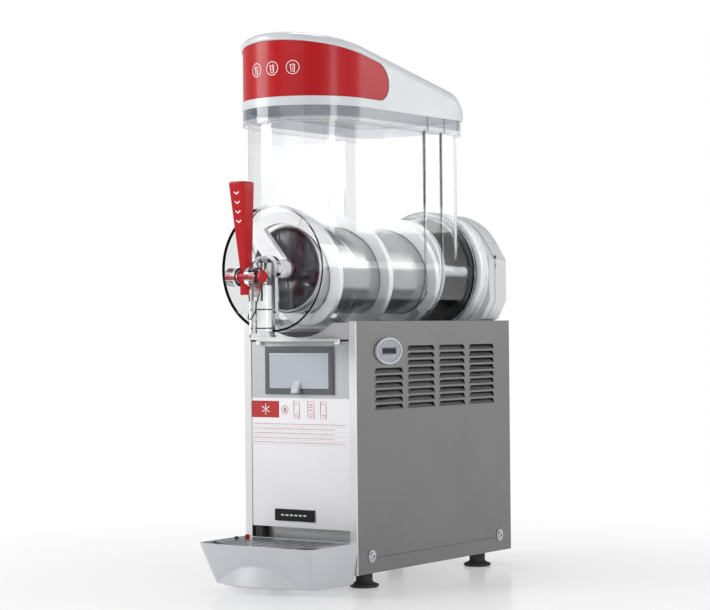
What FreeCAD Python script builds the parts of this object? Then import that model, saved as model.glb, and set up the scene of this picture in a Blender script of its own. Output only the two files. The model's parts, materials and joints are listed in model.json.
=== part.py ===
import FreeCAD, Part
import Sketcher
import math
import os
import re

from FreeCAD import Placement, Rotation, Vector

# A single-bowl frozen drink (slush) machine: a sheet-steel cabinet with a refrigeration unit, a
# horizontal evaporator drum with a spiral mixer turning round it, a clear bowl with a dispensing tap
# that slides over the drum, a lid on the bowl, and a drip tray under the tap.
#
# Frame: +Z up, +X to the right of someone facing the machine, +Y to its back. The origin is on the
# counter under the middle of the whole machine. Sizes are millimetres. Lengths that end in _y are
# measured back from the cabinet's front face, and lengths that end in _z up from the cabinet's top
# edge, because the bowl, drum and tap are all set out from those two.

os.makedirs("parts", exist_ok=True)

DIMS = {
    # cabinet
    "front": -140.9,           # the cabinet's front face, along Y
    "deck": 379.0,             # the cabinet's top edge above the counter
    "body_half": 100.0,        # half the cabinet's width
    "body_depth": 412.0,
    "body_base": 22.0,         # the cabinet's lower edge above the counter
    "steel": 1.2,              # sheet thickness
    "flange": 12.0,            # folded front edge of each side panel
    "screw_front_y": 35.0,     # panel screws in each side
    "screw_rear_y": 378.0,
    "screw_high": 46.0,
    "bracket_in": 62.0,        # brackets that the drip tray hooks over, each side
    "bracket_out": 84.0,
    "bracket_top": 51.8,
    "gland_x": -60.0,          # cable gland in the back
    "gland_high": 70.0,
    "split_height": 269.5,     # joint between the two front panels
    "recess_top": 84.0,        # lower edge of the front panels, over the tray recess
    "recess_depth": 14.0,
    # louvres in the side panels
    "louvre_long": 74.0,
    "louvre_tall": 7.2,
    "louvre_pitch": 10.45,
    "louvre_column": 83.0,
    "louvre_first_y": 44.5,
    "louvre_top": 343.0,
    "louvre_blade": 8.6,
    "louvre_sheet": 0.7,
    "louvre_lean": 34.0,       # degrees
    # control panel
    "bezel_half": 60.5,
    "bezel_low": 275.0,
    "bezel_high": 343.6,
    "door_half": 53.0,
    "door_low": 283.2,
    "door_high": 334.3,
    "door_thick": 2.4,
    "pull_half": 5.8,          # half the width of the door's pull tab
    "pull_x": -3.0,
    "rocker_pitch": 32.0,
    "rocker_high": 308.0,
    "rocker_y": 13.0,
    "rocker_half": 8.0,
    # refrigeration unit
    "comp_x": -18.0,
    "comp_y": 290.0,
    "fan_y": 250.0,
    "fan_high": 288.0,
    "fan_mouth": 52.5,
    "fan_reach": 49.5,
    "coil_x": 66.0,            # condenser block, nearest the middle
    "coil_low": 232.0,
    "coil_high": 344.0,
    "suction_x": 50.0,         # suction line where it rises through the deck
    "suction_y": 386.0,
    # drum, mixer and bowl
    "axis": 454.0,             # drum axis above the counter
    "drum_radius": 63.0,
    "drum_nose_y": -28.0,
    "drum_tail_y": 344.0,
    "blade_radius": 80.5,
    "blade_root": 64.0,
    "blade_thick": 10.0,
    "blade_pitch": 123.0,
    "blade_side_y": -9.4,      # where the blade's middle crosses the right-hand side
    "blade_start_y": -35.0,
    "blade_end_y": 246.0,
    "arm_angle": 130.0,        # front arm, from +X towards +Z, degrees
    "arm_wide": 26.0,
    "shaft_radius": 7.0,
    "post_orbit": 72.2,        # mixing posts behind the blade
    "post_radius": 7.6,
    "cap_radius": 8.6,
    "cap_start_y": 322.0,
    "cap_end_y": 336.0,
    "bowl_radius": 90.0,
    "bowl_wall": 3.5,
    "bowl_nose_y": -62.0,
    "bowl_tail_y": 356.0,
    "collar_radius": 96.0,
    "collar_start_y": 322.0,
    "hopper_half": 89.4,
    "hopper_wall": 3.2,
    "hopper_rear_y": 303.0,
    "hopper_corner": 30.0,
    "rim_low_z": 281.0,
    "rim_high_z": 302.8,
    "rib_front_y": 192.0,      # ribs round the bowl
    "rib_rear_y": 237.0,
    "rib_proud": 1.4,
    "rib_wide": 2.6,
    "plan_y": 30.0,            # centre of the round nose of the hopper and lid
    "rim_half": 96.4,
    # lid
    "lid_half": 97.0,
    "lid_rear_y": 308.0,
    "lid_base_z": 303.0,
    "lid_front_z": 409.0,
    "lid_back_z": 346.0,
    "lid_break_y": 266.0,
    "lid_corner": 30.0,
    "lid_wall": 3.2,
    "graphic_low_z": 316.0,
    "graphic_drop": 14.0,
    "graphic_end_y": 93.0,
    "graphic_thick": 1.0,
    "graphic_sunk": 1.2,       # how far the red panel lies below the lid's skin
    # tap
    "pivot_y": -122.0,
    "pivot_z": 62.0,
    "tap_y": -82.0,
    "tap_radius": 17.0,
    "tap_bore": 13.2,
    "tap_foot_z": -22.0,
    "tap_top_z": 92.0,
    "lug_radius": 13.0,
    "lug_in": 8.2,
    "lug_out": 25.0,
    "pin_radius": 4.0,
    "swing": 40.0,             # lever travel, degrees
    "lever_half": 7.8,
    # gear housing
    "housing_y": 362.0,
    "housing_split_y": 378.0,
    "housing_end_y": 411.0,
    "housing_half": 96.0,
    "gear_module": 1.75,
    "gear_teeth": 48.0,
    "pinion_teeth": 16.0,
    "gear_gap": 0.3,           # added centre distance, for backlash
    "gear_y": 367.0,
    "gear_wide": 8.0,
    "motor_radius": 30.0,
    "motor_rise": 14.0,        # the motor's middle above its own pinion
    # drip tray
    "tray_top": 68.0,
    "tray_low": 9.0,
    "tray_half": 102.0,
    "tray_low_half": 93.0,
    "tray_nose_y": -114.0,
    "tray_low_nose_y": -102.0,
    "tray_wall": 3.0,
    "tray_bow": 150.0,         # radius of the tray's bowed front, in plan
    "tray_bow_y": 36.0,
    "float_x": -75.0,
    "float_y": -28.0,
    # feet
    "foot_x": 77.0,
    "foot_front_y": 48.0,
    "foot_rear_y": 349.0,
    "foot_radius": 21.0,
    "foot_stem": 12.0,
    # display on the right side panel
    "display_y": 79.0,
    "display_high": 336.0,
    "display_long": 66.0,
    "display_tall": 38.0,
}

LOUVRE_ROWS = (6, 9, 9, 9)     # louvres in each column, front to back; columns end level
MAX_ROWS = 9
SCREW_PLACES = ("screw_front_y", "screw_rear_y")
TRAY_BRACKETS = (("-bracket_out", "-bracket_in"), ("bracket_in", "bracket_out"))
SWITCHES = (("power_switch", "-rocker_pitch"), ("light_switch", "0"), ("mode_switch", "rocker_pitch"))
RIBS = ("rib_front_y", "rib_rear_y")

doc = FreeCAD.newDocument("slush_machine")
sheet = doc.addObject("Spreadsheet::Sheet", "dims")
for row, (alias, value) in enumerate(DIMS.items(), 1):
    sheet.set(f"A{row}", alias)
    sheet.set(f"B{row}", str(value))
    sheet.setAlias(f"B{row}", alias)
doc.recompute()

SUBPARTS = []


# ---------------------------------------------------------------- helpers

def cells(text):
    """An expression with each sheet alias spelled out."""
    return re.sub(r"[a-z][a-z_]*", lambda m: "dims." + m.group() if m.group() in DIMS else m.group(), text)


def value(text):
    """The number that an expression in the sheet's aliases has now."""
    names = {alias: float(sheet.get(alias)) for alias in DIMS}
    for word in sorted(names, key=len, reverse=True):
        text = re.sub(rf"\b{word}\b", f"({names[word]!r})", text)
    return float(FreeCAD.Units.Quantity(text).Value)


def bind(item, **texts):
    for name, text in texts.items():
        item.setExpression(name, cells(text))
    return item


def place(item, x="0", y="0", z="0", turn=None):
    if turn is not None:
        item.Placement = Placement(Vector(), turn)
    for letter, text in zip("xyz", (x, y, z)):
        item.setExpression("Placement.Base." + letter, cells(text))
    return item


def block(name, x, y, z):
    """A box between two limits along each axis."""
    item = doc.addObject("Part::Box", name)
    bind(item, Length=f"({x[1]}) - ({x[0]})", Width=f"({y[1]}) - ({y[0]})", Height=f"({z[1]}) - ({z[0]})")
    return place(item, x[0], y[0], z[0])


TURNS = {"x": Rotation(Vector(0, 1, 0), 90), "y": Rotation(Vector(1, 0, 0), -90), "z": Rotation()}


def rod(name, axis, radius, along, centre):
    """A cylinder along an axis between two limits; centre gives the other two coordinates in order."""
    item = doc.addObject("Part::Cylinder", name)
    bind(item, Radius=radius, Height=f"({along[1]}) - ({along[0]})")
    spot = list(centre)
    spot.insert("xyz".index(axis), along[0])
    return place(item, *spot, turn=TURNS[axis])


def fuse(name, *items):
    item = doc.addObject("Part::MultiFuse", name)
    item.Shapes = list(items)
    item.Refine = True
    return item


def pack(name, *items):
    """Separate solids as one object."""
    item = doc.addObject("Part::Compound", name)
    item.Links = list(items)
    return item


def cut(name, base, *tools):
    item = doc.addObject("Part::Cut", name)
    item.Base = base
    item.Tool = tools[0] if len(tools) == 1 else fuse(name + "_tools", *tools)
    item.Refine = True
    return item


def common(name, first, second):
    item = doc.addObject("Part::Common", name)
    item.Base, item.Tool = first, second
    item.Refine = True
    return item


def subpart(label, item):
    item.Label = label
    SUBPARTS.append(item)
    return item


def plane(body, role):
    return next(f for f in body.Origin.OriginFeatures if f.Role == role)


def outline(body, name, role, points, height=None):
    """A closed sketch of straight lines whose corners are bound to expressions in the sheet's aliases."""
    sketch = body.newObject("Sketcher::SketchObject", name)
    sketch.AttachmentSupport = (plane(body, role), [""])
    sketch.MapMode = "FlatFace"
    if height is not None:
        sketch.setExpression("AttachmentOffset.Base.z", cells(height))
    spots = [Vector(value(u), value(v), 0) for u, v in points]
    count = len(spots)
    for i in range(count):
        sketch.addGeometry(Part.LineSegment(spots[i], spots[(i + 1) % count]), False)
    for i in range(count):
        sketch.addConstraint(Sketcher.Constraint("Coincident", i, 2, (i + 1) % count, 1))
    for i, pair in enumerate(points):
        for kind, text, now in zip(("DistanceX", "DistanceY"), pair, (spots[i].x, spots[i].y)):
            index = sketch.addConstraint(Sketcher.Constraint(kind, -1, 1, i, 1, now))
            sketch.setExpression(f"Constraints[{index}]", cells(text))
    return sketch


def turned(name, role, axis, points, x="0", y="0", z="0"):
    """A part turned about one axis of its own sketch: each point is (along, radius) or (radius, along)."""
    body = doc.addObject("PartDesign::Body", name)
    sketch = outline(body, name + "_profile", role, points)
    spin = body.newObject("PartDesign::Revolution", name + "_turn")
    spin.Profile = sketch
    spin.ReferenceAxis = (sketch, [axis])
    spin.Angle = 360
    sketch.Visibility = False
    return place(body, x, y, z)


def turned_on_y(name, points):
    """A part turned about the drum axis. Each point is (distance back from the front face, radius)."""
    return turned(name, "YZ_Plane", "H_Axis", points, y="front", z="axis")


def turned_on_z(name, points, x="0", y="0", z="0"):
    """A part turned about a vertical axis. Each point is (radius, height)."""
    return turned(name, "XZ_Plane", "V_Axis", points, x, y, z)


def padded(name, role, points, length, x="0", y="0", z="0", reverse=False):
    """A part of constant section, padded from one of its own planes."""
    body = doc.addObject("PartDesign::Body", name)
    sketch = outline(body, name + "_outline", role, points)
    pad = body.newObject("PartDesign::Pad", name + "_pad")
    pad.Profile = sketch
    bind(pad, Length=length)
    pad.Reversed = reverse
    place(body, x, y, z)
    return body


def pocket(body, role, points, length, reverse=False, height=None):
    """Cuts a straight-sided opening into a body, and checks that it cut something."""
    doc.recompute()
    before = body.Shape.Volume
    sketch = outline(body, body.Name + "_opening", role, points, height)
    hole = body.newObject("PartDesign::Pocket", body.Name + "_pocket")
    hole.Profile = sketch
    bind(hole, Length=length)
    hole.Reversed = reverse
    doc.recompute()
    if body.Shape.Volume > before - 1:
        raise RuntimeError(f"the pocket in {body.Name} cuts nothing")
    return body


def feature(name, shape, **where):
    """A shape that neither a body nor a primitive makes, worked out from the sheet in code."""
    item = doc.addObject("Part::Feature", name)
    item.Shape = shape
    return place(item, **where)


def rectangle(u_low, u_high, v_low, v_high):
    return [(u_low, v_low), (u_high, v_low), (u_high, v_high), (u_low, v_high)]


def rounded_plan(name, half, rear, corner, z):
    """A prism with a half-round nose of the given half width, flat sides and a rear with round corners."""
    middle = "front + plan_y"
    nose = rod(name + "_nose", "z", half, z, ("0", middle))
    sides = block(name + "_sides", (f"-({half})", half), (middle, f"front + {rear} - ({corner})"), z)
    back = block(name + "_back", (f"-({half}) + {corner}", f"({half}) - ({corner})"),
                 (middle, f"front + {rear}"), z)
    corners = [rod(f"{name}_corner_{side}", "z", corner, z,
                   (f"{sign}(({half}) - ({corner}))", f"front + {rear} - ({corner})"))
               for side, sign in (("right", ""), ("left", "-"))]
    return fuse(name, nose, sides, back, *corners)


def drum_rod(name, radius, y):
    """A cylinder on the drum axis between two distances from the front face."""
    return rod(name, "y", radius, (f"front + {y[0]}", f"front + {y[1]}"), ("0", "axis"))


# ---------------------------------------------------------------- cabinet

def side_panel(side, sign, with_display):
    """Louvred sheet-steel side with folded front and rear edges. Its outer face is at body_half."""
    outer, inner = "body_half", "body_half - steel"
    y_low, y_high = "front", "front + body_depth"
    z_all = ("body_base", "deck")
    skin = block(f"{side}_skin", (inner, outer), (y_low, y_high), z_all)
    fold = block(f"{side}_fold", ("body_half - flange", outer), (y_low, "front + steel"), z_all)
    rear_fold = block(f"{side}_rear_fold", ("body_half - flange", outer),
                      ("front + body_depth - steel", y_high), z_all)
    plate = fuse(f"{side}_plate", skin, fold, rear_fold)
    slots, blades = [], []
    for column, count in enumerate(LOUVRE_ROWS):
        y0 = f"front + louvre_first_y + {column} * louvre_column"
        for line in range(MAX_ROWS - count, MAX_ROWS):
            top = f"louvre_top - {line} * louvre_pitch"
            name = f"{side}_louvre_{column}_{line}"
            slots.append(block(name + "_slot", ("body_half - 3 * steel", "body_half + steel"),
                               (y0, f"{y0} + louvre_long"), (f"{top} - louvre_tall", top)))
            blade = doc.addObject("Part::Box", name + "_blade")
            bind(blade, Length="louvre_sheet", Width="louvre_long + 1", Height="louvre_blade")
            lean = Rotation(Vector(0, 1, 0), -value("louvre_lean"))
            blades.append(place(blade, "body_half - steel + 0.2", f"{y0} - 0.5", f"{top} - louvre_tall - 0.4",
                                turn=lean))
    through = ("body_half - 3 * steel", "body_half + steel")
    holes = [rod(f"{side}_screw_hole_{i}", "x", "3.2", through, (f"front + {y}", "screw_high"))
             for i, y in enumerate(SCREW_PLACES)]
    if with_display:
        holes.append(rod(f"{side}_display_hole", "x", "15", through, ("front + display_y", "display_high")))
    slotted = cut(f"{side}_slotted", plate, pack(f"{side}_slots", *slots), *holes)
    pressed = fuse(f"{side}_pressed", slotted, *blades)
    if sign > 0:
        return subpart("side_panel_right", pressed)
    mirror = doc.addObject("Part::Mirroring", "left_mirror")
    mirror.Source = pressed
    mirror.Normal = Vector(1, 0, 0)
    return subpart("side_panel_left", mirror)


def front_panels():
    half = "body_half - flange - 0.2"
    upper = padded("upper_panel", "XZ_Plane",
                   rectangle(f"-({half})", half, "split_height + 0.2", "deck - 28.5"),
                   "steel", y="front + 2 * steel")
    opening = rectangle("-door_half - 1.5", "door_half + 1.5", "door_low - 1.5", "door_high + 1.5")
    pocket(upper, "XZ_Plane", opening, "10", reverse=True)
    subpart("front_panel_upper", upper)
    lower = padded("lower_panel", "XZ_Plane", rectangle(f"-({half})", half, "recess_top", "split_height"),
                   "steel", y="front + 2 * steel")
    subpart("front_panel_lower", lower)


def rear_panel():
    """Back sheet with a grid of vent slots and a hole for the cable gland."""
    y_out = "front + body_depth - steel"
    panel = block("rear_sheet", ("-body_half + flange + 0.2", "body_half - flange - 0.2"),
                  (f"{y_out} - steel", y_out), ("body_base + steel", "deck - steel"))
    through = (f"{y_out} - 3 * steel", f"{y_out} + steel")
    slots = [block(f"rear_slot_{column}_{line}", (f"46 * {column} - 66", f"46 * {column} - 28"), through,
                   (f"150 + 12 * {line}", f"155 + 12 * {line}"))
             for column in range(3) for line in range(12)]
    gland_hole = rod("gland_hole", "y", "8", through, ("gland_x", "gland_high"))
    subpart("rear_panel", cut("rear_vented", panel, pack("rear_slots", *slots), gland_hole))


def base_pan():
    """Floor of the cabinet, turned up at the front behind the tray recess and at the sides."""
    half = "body_half - steel - 0.2"
    y = ("front + recess_depth", "front + body_depth - 2 * steel - 0.2")
    floor = block("pan_floor", (f"-({half})", half), y, ("body_base", "body_base + 2"))
    walls = [block("pan_front", (f"-({half})", half), (y[0], f"{y[0]} + 1.5"),
                   ("body_base", "recess_top + 30")),
             block("pan_left", (f"-({half})", f"-({half}) + 1.5"), y, ("body_base", "body_base + 40")),
             block("pan_right", (f"({half}) - 1.5", half), y, ("body_base", "body_base + 40"))]
    bosses = [rod(f"pan_boss_{i}", "z", "9", ("body_base + 1", "body_base + 24"), (x, f"front + {where}"))
              for i, (x, where) in enumerate(foot_spots())]
    threads = [rod(f"pan_thread_{i}", "z", "4.3", ("body_base - 1", "body_base + 25"),
                   (x, f"front + {where}"))
               for i, (x, where) in enumerate(foot_spots())]
    nuts = [rod(f"pan_nut_{i}_{side}", "x", "2.6", (low, high), (f"front + {where}", "screw_high"))
            for i, where in enumerate(SCREW_PLACES)
            for side, low, high in (("right", "body_half - 8", "body_half + 1"),
                                    ("left", "-body_half - 1", "-body_half + 8"))]
    hooks = [block(f"tray_bracket_{i}", span, ("front + 0.4", "front + recess_depth + 1"),
                   ("body_base + 2", "bracket_top"))
             for i, span in enumerate(TRAY_BRACKETS)]
    subpart("base_pan", cut("pan", fuse("pan_solid", floor, *walls, *bosses, *hooks), *threads, *nuts))


def foot_spots():
    return [(x, y) for y in ("foot_front_y", "foot_rear_y") for x in ("-foot_x", "foot_x")]


def feet():
    """Levelling feet: a rubber pad on a stem with a threaded stud that screws into the base pan."""
    profile = [("0", "0"), ("foot_radius - 2", "0"), ("foot_radius", "2"), ("foot_radius", "4"),
               ("foot_stem + 2", "7"), ("foot_stem", "9"), ("foot_stem", "body_base - 0.1"),
               ("4", "body_base - 0.1"), ("4", "body_base + 22"), ("0", "body_base + 22")]
    solids = [turned_on_z(f"foot_{i}", profile, x, f"front + {y}") for i, (x, y) in enumerate(foot_spots())]
    subpart("levelling_feet", pack("foot_set", *solids))


def top_tray():
    """Stainless basin under the bowl, with a round nose that carries drips out over the front panel.

    Its back is cut away round the bowl's collar, and a deck plate behind it carries the gear housing.
    """
    half = "body_half - steel - 0.3"
    y = ("front + 0.2", "front + housing_y - 4")
    z = ("deck - 26", "deck - 1")
    outer = block("basin_outer", (f"-({half})", half), y, z)
    inner = block("basin_inner", (f"-({half}) + steel", f"({half}) - steel"),
                  (f"{y[0]} - 1", f"{y[1]} - steel"),
                  ("deck - 26 + steel", "deck"))
    corner = block("basin_corner", ("-body_half", "body_half"), (f"{y[0]} - 1", "front + steel + 0.2"),
                   ("deck - 30", "deck + 1"))
    keep = block("basin_keep", ("-body_half + flange + 0.3", "body_half - flange - 0.3"),
                 (f"{y[0]} - 2", "front + steel + 0.3"), ("deck - 31", "deck + 2"))
    basin = cut("basin", outer, inner, cut("basin_ears", corner, keep))
    disc = rod("nose_disc", "z", "190", ("deck - 28.2", "deck - 26 + steel"), ("0", "front + 173"))
    disc_keep = block("nose_keep", ("-74", "74"), ("front - 20", "front + 0.3"), ("deck - 40", "deck"))
    plate = block("deck_plate", (f"-({half})", half),
                  ("front + housing_y - 4 - steel", "front + body_depth - 2 * steel - 0.2"),
                  ("deck - 3", "deck - 1"))
    pipe_way = rod("deck_pipe_way", "z", "9", ("deck - 6", "deck + 1"), ("suction_x", "front + suction_y"))
    dish_way = drum_rod("deck_dish_way", "collar_radius + 1", ("housing_y - 6", "housing_y + 0.2"))
    solid = fuse("top_tray_solid", basin, common("nose", disc, disc_keep), plate)
    subpart("top_tray", cut("top_tray_cut", solid, pipe_way, dish_way))
    clips = [block(f"clip_{i}", (f"{x} - 3.5", f"{x} + 3.5"), ("front - 4", "front + 1"),
                   ("deck - 36", "deck - 28.3")) for i, x in enumerate(("-68", "68"))]
    subpart("nose_clips", pack("nose_clip_pair", *clips))


def control_panel():
    """Frame, switch box, drop-down door and three rocker switches."""
    y = ("front - 1.8", "front + steel")
    hinge = ("front - 0.2", "door_high - 2.2")
    rim = block("bezel_outer", ("-bezel_half", "bezel_half"), y, ("bezel_low", "bezel_high"))
    gap = block("bezel_gap", ("-door_half - 0.6", "door_half + 0.6"), ("front - 5", "front + 5"),
                ("door_low - 0.6", "door_high + 0.6"))
    ends = (("-door_half - 3.2", "-door_half"), ("door_half", "door_half + 3.2"))
    pins = [rod(f"bezel_socket_{i}", "x", "1.25", span, hinge) for i, span in enumerate(ends)]
    subpart("control_bezel", cut("bezel", rim, gap, *pins))

    plate = block("switch_plate_solid", ("-bezel_half", "bezel_half"), ("front + 12", "front + 14"),
                  ("door_low - 5", "door_high + 3"))
    holes = [block(f"{label}_hole", (f"{x} - rocker_half - 1.5", f"{x} + rocker_half + 1.5"),
                   ("front + 10", "front + 16"), ("rocker_high - 14", "rocker_high + 14"))
             for label, x in SWITCHES]
    across, depth = ("-bezel_half", "bezel_half"), ("front + 2.5 * steel", "front + 12.5")
    box_top = block("switch_box_top", across, depth, ("door_high + 1.6", "door_high + 3"))
    box_low = block("switch_box_low", across, depth, ("door_low - 5", "door_low - 3.5"))
    subpart("switch_plate", cut("switch_plate_cut", fuse("switch_box", plate, box_top, box_low), *holes))

    leaf = block("door_leaf", ("-door_half", "door_half"), ("front - 1.4", "front - 1.4 + door_thick"),
                 ("door_low", "door_high"))
    knuckle = rod("door_knuckle", "x", "1.9", ("-door_half", "door_half"), hinge)
    trunnion = rod("door_trunnion", "x", "1.2", ("-door_half - 3", "door_half + 3"), hinge)
    tab = padded("door_tab", "YZ_Plane",
                 [("-1.3", "294"), ("-1.3", "door_low + 1"), ("-2.6", "door_low"), ("-2.6", "276.5"),
                  ("-9.5", "276.5"), ("-9.5", "278.5")], "2 * pull_half",
                 x="pull_x - pull_half", y="front")
    lip = block("door_tab_root", ("pull_x - pull_half", "pull_x + pull_half"), ("front - 2", "front - 1.2"),
                ("door_low", "door_low + 8"))
    subpart("control_door", fuse("door_solid", leaf, knuckle, trunnion, tab, lip))
    for label, x in SWITCHES:
        centre, span = ("front + rocker_y", "rocker_high"), (f"{x} - rocker_half", f"{x} + rocker_half")
        body = block(label + "_rocker", span, ("front + rocker_y - 5", "front + rocker_y + 2"),
                     ("rocker_high - 12", "rocker_high + 12"))
        face = rod(label + "_face", "x", "12.6", span, centre)
        rocker = common(label + "_shape", body, face)
        hub = rod(label + "_hub", "x", "2.5", (f"{span[0]} - 1.3", f"{span[1]} + 1.3"), centre)
        subpart(label, fuse(label + "_solid", rocker, hub))


def badges():
    """Plain badge and printed label sheet on the lower front panel."""
    subpart("badge", block("badge_plate", ("-45.5", "25"), ("front - 0.8", "front + steel"), ("93", "110")))
    label = block("label_sheet", ("-87.6", "87.6"), ("front + steel - 0.3", "front + steel"), ("201", "267"))
    subpart("instruction_label", label)


def display():
    """Oval temperature display let into the right side panel."""
    high, y = "display_high", "front + display_y"
    shell = feature("display_dome", ellipse_plate(), x="body_half", y=y, z=high)
    stem = rod("display_stem", "x", "14.5", ("body_half - 22", "body_half + 0.5"), (y, high))
    window = block("display_window_cut", ("body_half + 1.2", "body_half + 6"), (f"{y} - 17.4", f"{y} + 17.4"),
                   (f"{high} - 4", f"{high} + 4"))
    subpart("display_bezel", cut("display_body", fuse("display_joined", shell, stem), window))
    subpart("display_window", block("display_glass", ("body_half + 1.2", "body_half + 2"),
                                    (f"{y} - 17.2", f"{y} + 17.2"), (f"{high} - 3.8", f"{high} + 3.8")))


def ellipse_plate():
    """Oval plate 2.6 thick, its back face on the YZ plane, with a chamfered rim."""
    long, tall = value("display_long") / 2, value("display_tall") / 2
    faces = []
    for x, shrink in ((0, 0), (1.6, 0), (2.6, 1.6)):
        arc = Part.Ellipse(Vector(0, long - shrink, 0), Vector(0, 0, tall - shrink),
                           Vector(0, 0, 0)).toShape()
        arc.translate(Vector(x, 0, 0))
        faces.append(Part.Wire([arc]))
    return Part.makeLoft(faces, True, True)


def screws():
    """Domed panel screws with washers, two in each side, tapped into the base pan."""
    solids = []
    for side, sign in (("right", 1), ("left", -1)):
        for i, y in enumerate(SCREW_PLACES):
            profile = [("0", "-7"), ("2.5", "-7"), ("2.5", "0"), ("9", "0"), ("9", "1"), ("6.5", "1.2"),
                       ("5.5", "2.8"), ("3.5", "3.5"), ("2.2", "3.5"), ("2.2", "1.8"), ("0", "1.8")]
            screw = turned_on_z(f"screw_{side}_{i}", profile, f"{sign} * body_half", f"front + {y}",
                                "screw_high")
            screw.Placement.Rotation = Rotation(Vector(0, 1, 0), 90 * sign)
            solids.append(screw)
    solids += [rod(f"cover_screw_{side}", "x", "3", (low, high), ("front + 382", "axis + 10"))
               for side, low, high in (("right", "housing_half", "housing_half + 1.2"),
                                       ("left", "-housing_half - 1.2", "-housing_half"))]
    subpart("panel_screws", pack("panel_screw_set", *solids))


# ---------------------------------------------------------------- refrigeration unit

def compressor():
    """Welded compressor shell on four rubber grommets."""
    y_comp = "front + comp_y"
    shell = [("0", "33"), ("50", "33"), ("60", "43"), ("60", "140"), ("54", "158"), ("38", "172"),
             ("0", "177")]
    subpart("compressor", turned_on_z("compressor_shell", shell, "comp_x", y_comp))
    grommets = [rod(f"grommet_{i}", "z", "9", ("body_base + 2", "33"), (f"comp_x + {dx}", f"{y_comp} + {dy}"))
                for i, (dx, dy) in enumerate(((-34, -34), (34, -34), (-34, 34), (34, 34)))]
    subpart("compressor_mounts", pack("compressor_mount_set", *grommets))


def condenser():
    """Finned block: tube runs through thin fins, between two end plates."""
    fins = [block(f"fin_{i}", ("coil_x", "coil_x + 22"),
                  (f"front + 134 + 9 * {i}", f"front + 134.8 + 9 * {i}"),
                  ("coil_low", "coil_high"))
            for i in range(26)]
    runs = [rod(f"run_{i}_{j}", "y", "4.5", ("front + 132", "front + 362"),
                (f"coil_x + 5.5 + 11 * {j}", f"coil_low + 12 + 22 * {i}"))
            for i in range(5) for j in range(2)]
    plates = [block(f"condenser_end_{i}", ("coil_x - 2", "coil_x + 24"), (y, f"{y} + 1.5"),
                    ("coil_low - 2", "coil_high + 2"))
              for i, y in enumerate(("front + 130.5", "front + 362"))]
    subpart("condenser", fuse("condenser_block", *fins, *runs, *plates))


def fan():
    """Axial fan that draws air through the condenser: shroud, motor and blades on one X axis."""
    centre = ("front + fan_y", "fan_high")
    shroud = block("shroud_plate", ("60", "61.5"), ("front + fan_y - 60", "front + fan_y + 60"),
                   ("coil_low - 2", "coil_high + 2"))
    ring = cut("shroud_ring", rod("ring_outer", "x", "fan_mouth + 2.5", ("52", "61.5"), centre),
               rod("ring_inner", "x", "fan_mouth", ("50", "64"), centre))
    mouth = rod("shroud_mouth", "x", "fan_mouth", ("50", "64"), centre)
    legs = [block(f"shroud_leg_{i}", ("8", "61.5"),
                  (f"front + fan_y + {dy} - 3", f"front + fan_y + {dy} + 3"),
                  ("coil_low - 2", "coil_low"))
            for i, dy in enumerate((-56, 56))]
    strut = block("shroud_strut", ("8", "14"), ("front + fan_y - 59", "front + fan_y + 59"),
                  ("coil_low - 2", "coil_low + 30"))
    clear = rod("strut_clear", "x", "24.5", ("4", "18"), centre)
    subpart("fan_shroud", cut("shroud_cut", fuse("shroud_solid", shroud, ring, *legs, strut), mouth, clear))
    subpart("fan_motor", fuse("fan_motor_solid", rod("fan_motor_can", "x", "24.4", ("4", "38"), centre),
                              rod("fan_motor_nose", "x", "8", ("38", "40"), centre)))
    spindle = rod("fan_hub", "x", "13", ("40.5", "54"), centre)
    blades = []
    for i in range(5):
        blade = doc.addObject("Part::Box", f"fan_blade_{i}")
        bind(blade, Length="1.6", Width="22", Height="fan_reach - 10.5")
        spin = Rotation(Vector(1, 0, 0), 72 * i) * Rotation(Vector(0, 0, 1), 32)
        corner = spin.multVec(Vector(-0.8, -11, 10.5))
        blades.append(place(blade, f"47.5 + {corner.x:.4f}", f"front + fan_y + {corner.y:.4f}",
                            f"fan_high + {corner.z:.4f}", turn=spin))
    subpart("fan_blades", fuse("fan_solid", spindle, *blades))


def services():
    """Filter drier, electrical box, refrigerant lines and the mains lead's gland."""
    drier = [("0", "-52"), ("3.2", "-52"), ("3.2", "-46"), ("10", "-36"), ("10", "36"), ("3.2", "46"),
             ("3.2", "52"), ("0", "52")]
    subpart("filter_drier", turned_on_z("drier_shell", drier, "-80", "front + 180", "110"))
    subpart("electrical_box",
            block("electric_case", ("-92", "20"), ("front + 60", "front + 118"), ("130", "250")))
    subpart("refrigerant_pipes", pack("pipe_set", *(pipe(n, p, r) for n, p, r in pipe_routes())))
    gland = [("0", "-14"), ("7.8", "-14"), ("7.8", "0"), ("11", "0"), ("11", "5"), ("7", "11"), ("0", "11")]
    body = turned_on_z("gland_body", gland, "gland_x", "front + body_depth - steel", "gland_high")
    body.Placement.Rotation = TURNS["y"]
    way = rod("gland_way", "y", "3.6", ("front + body_depth - 30", "front + body_depth + 20"),
              ("gland_x", "gland_high"))
    subpart("cable_gland", cut("gland_bored", body, way))


def pipe_routes():
    """Discharge, liquid and suction lines, as (name, corner points, outside radius)."""
    f = value("front")
    return [
        ("discharge_line",
         [(20, f + 290, 176.5), (20, f + 290, 205), (40, f + 340, 215), (71.5, f + 375, 225),
                            (71.5, f + 375, 244), (71.5, f + 364, 244)], 3.2),
        ("liquid_line", [(71.5, f + 130, 332), (71.5, f + 122, 332), (20, f + 124, 300), (-40, f + 150, 200),
                         (-80, f + 180, 190), (-80, f + 180, 162.2)], 3.0),
        ("suction_line", [(-45, f + 290, 174), (-45, f + 290, 215), (-30, f + 350, 240), (20, f + 392, 260),
                          (50, f + 386, 300), (50, f + 386, 381)], 4.2),
    ]


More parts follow.
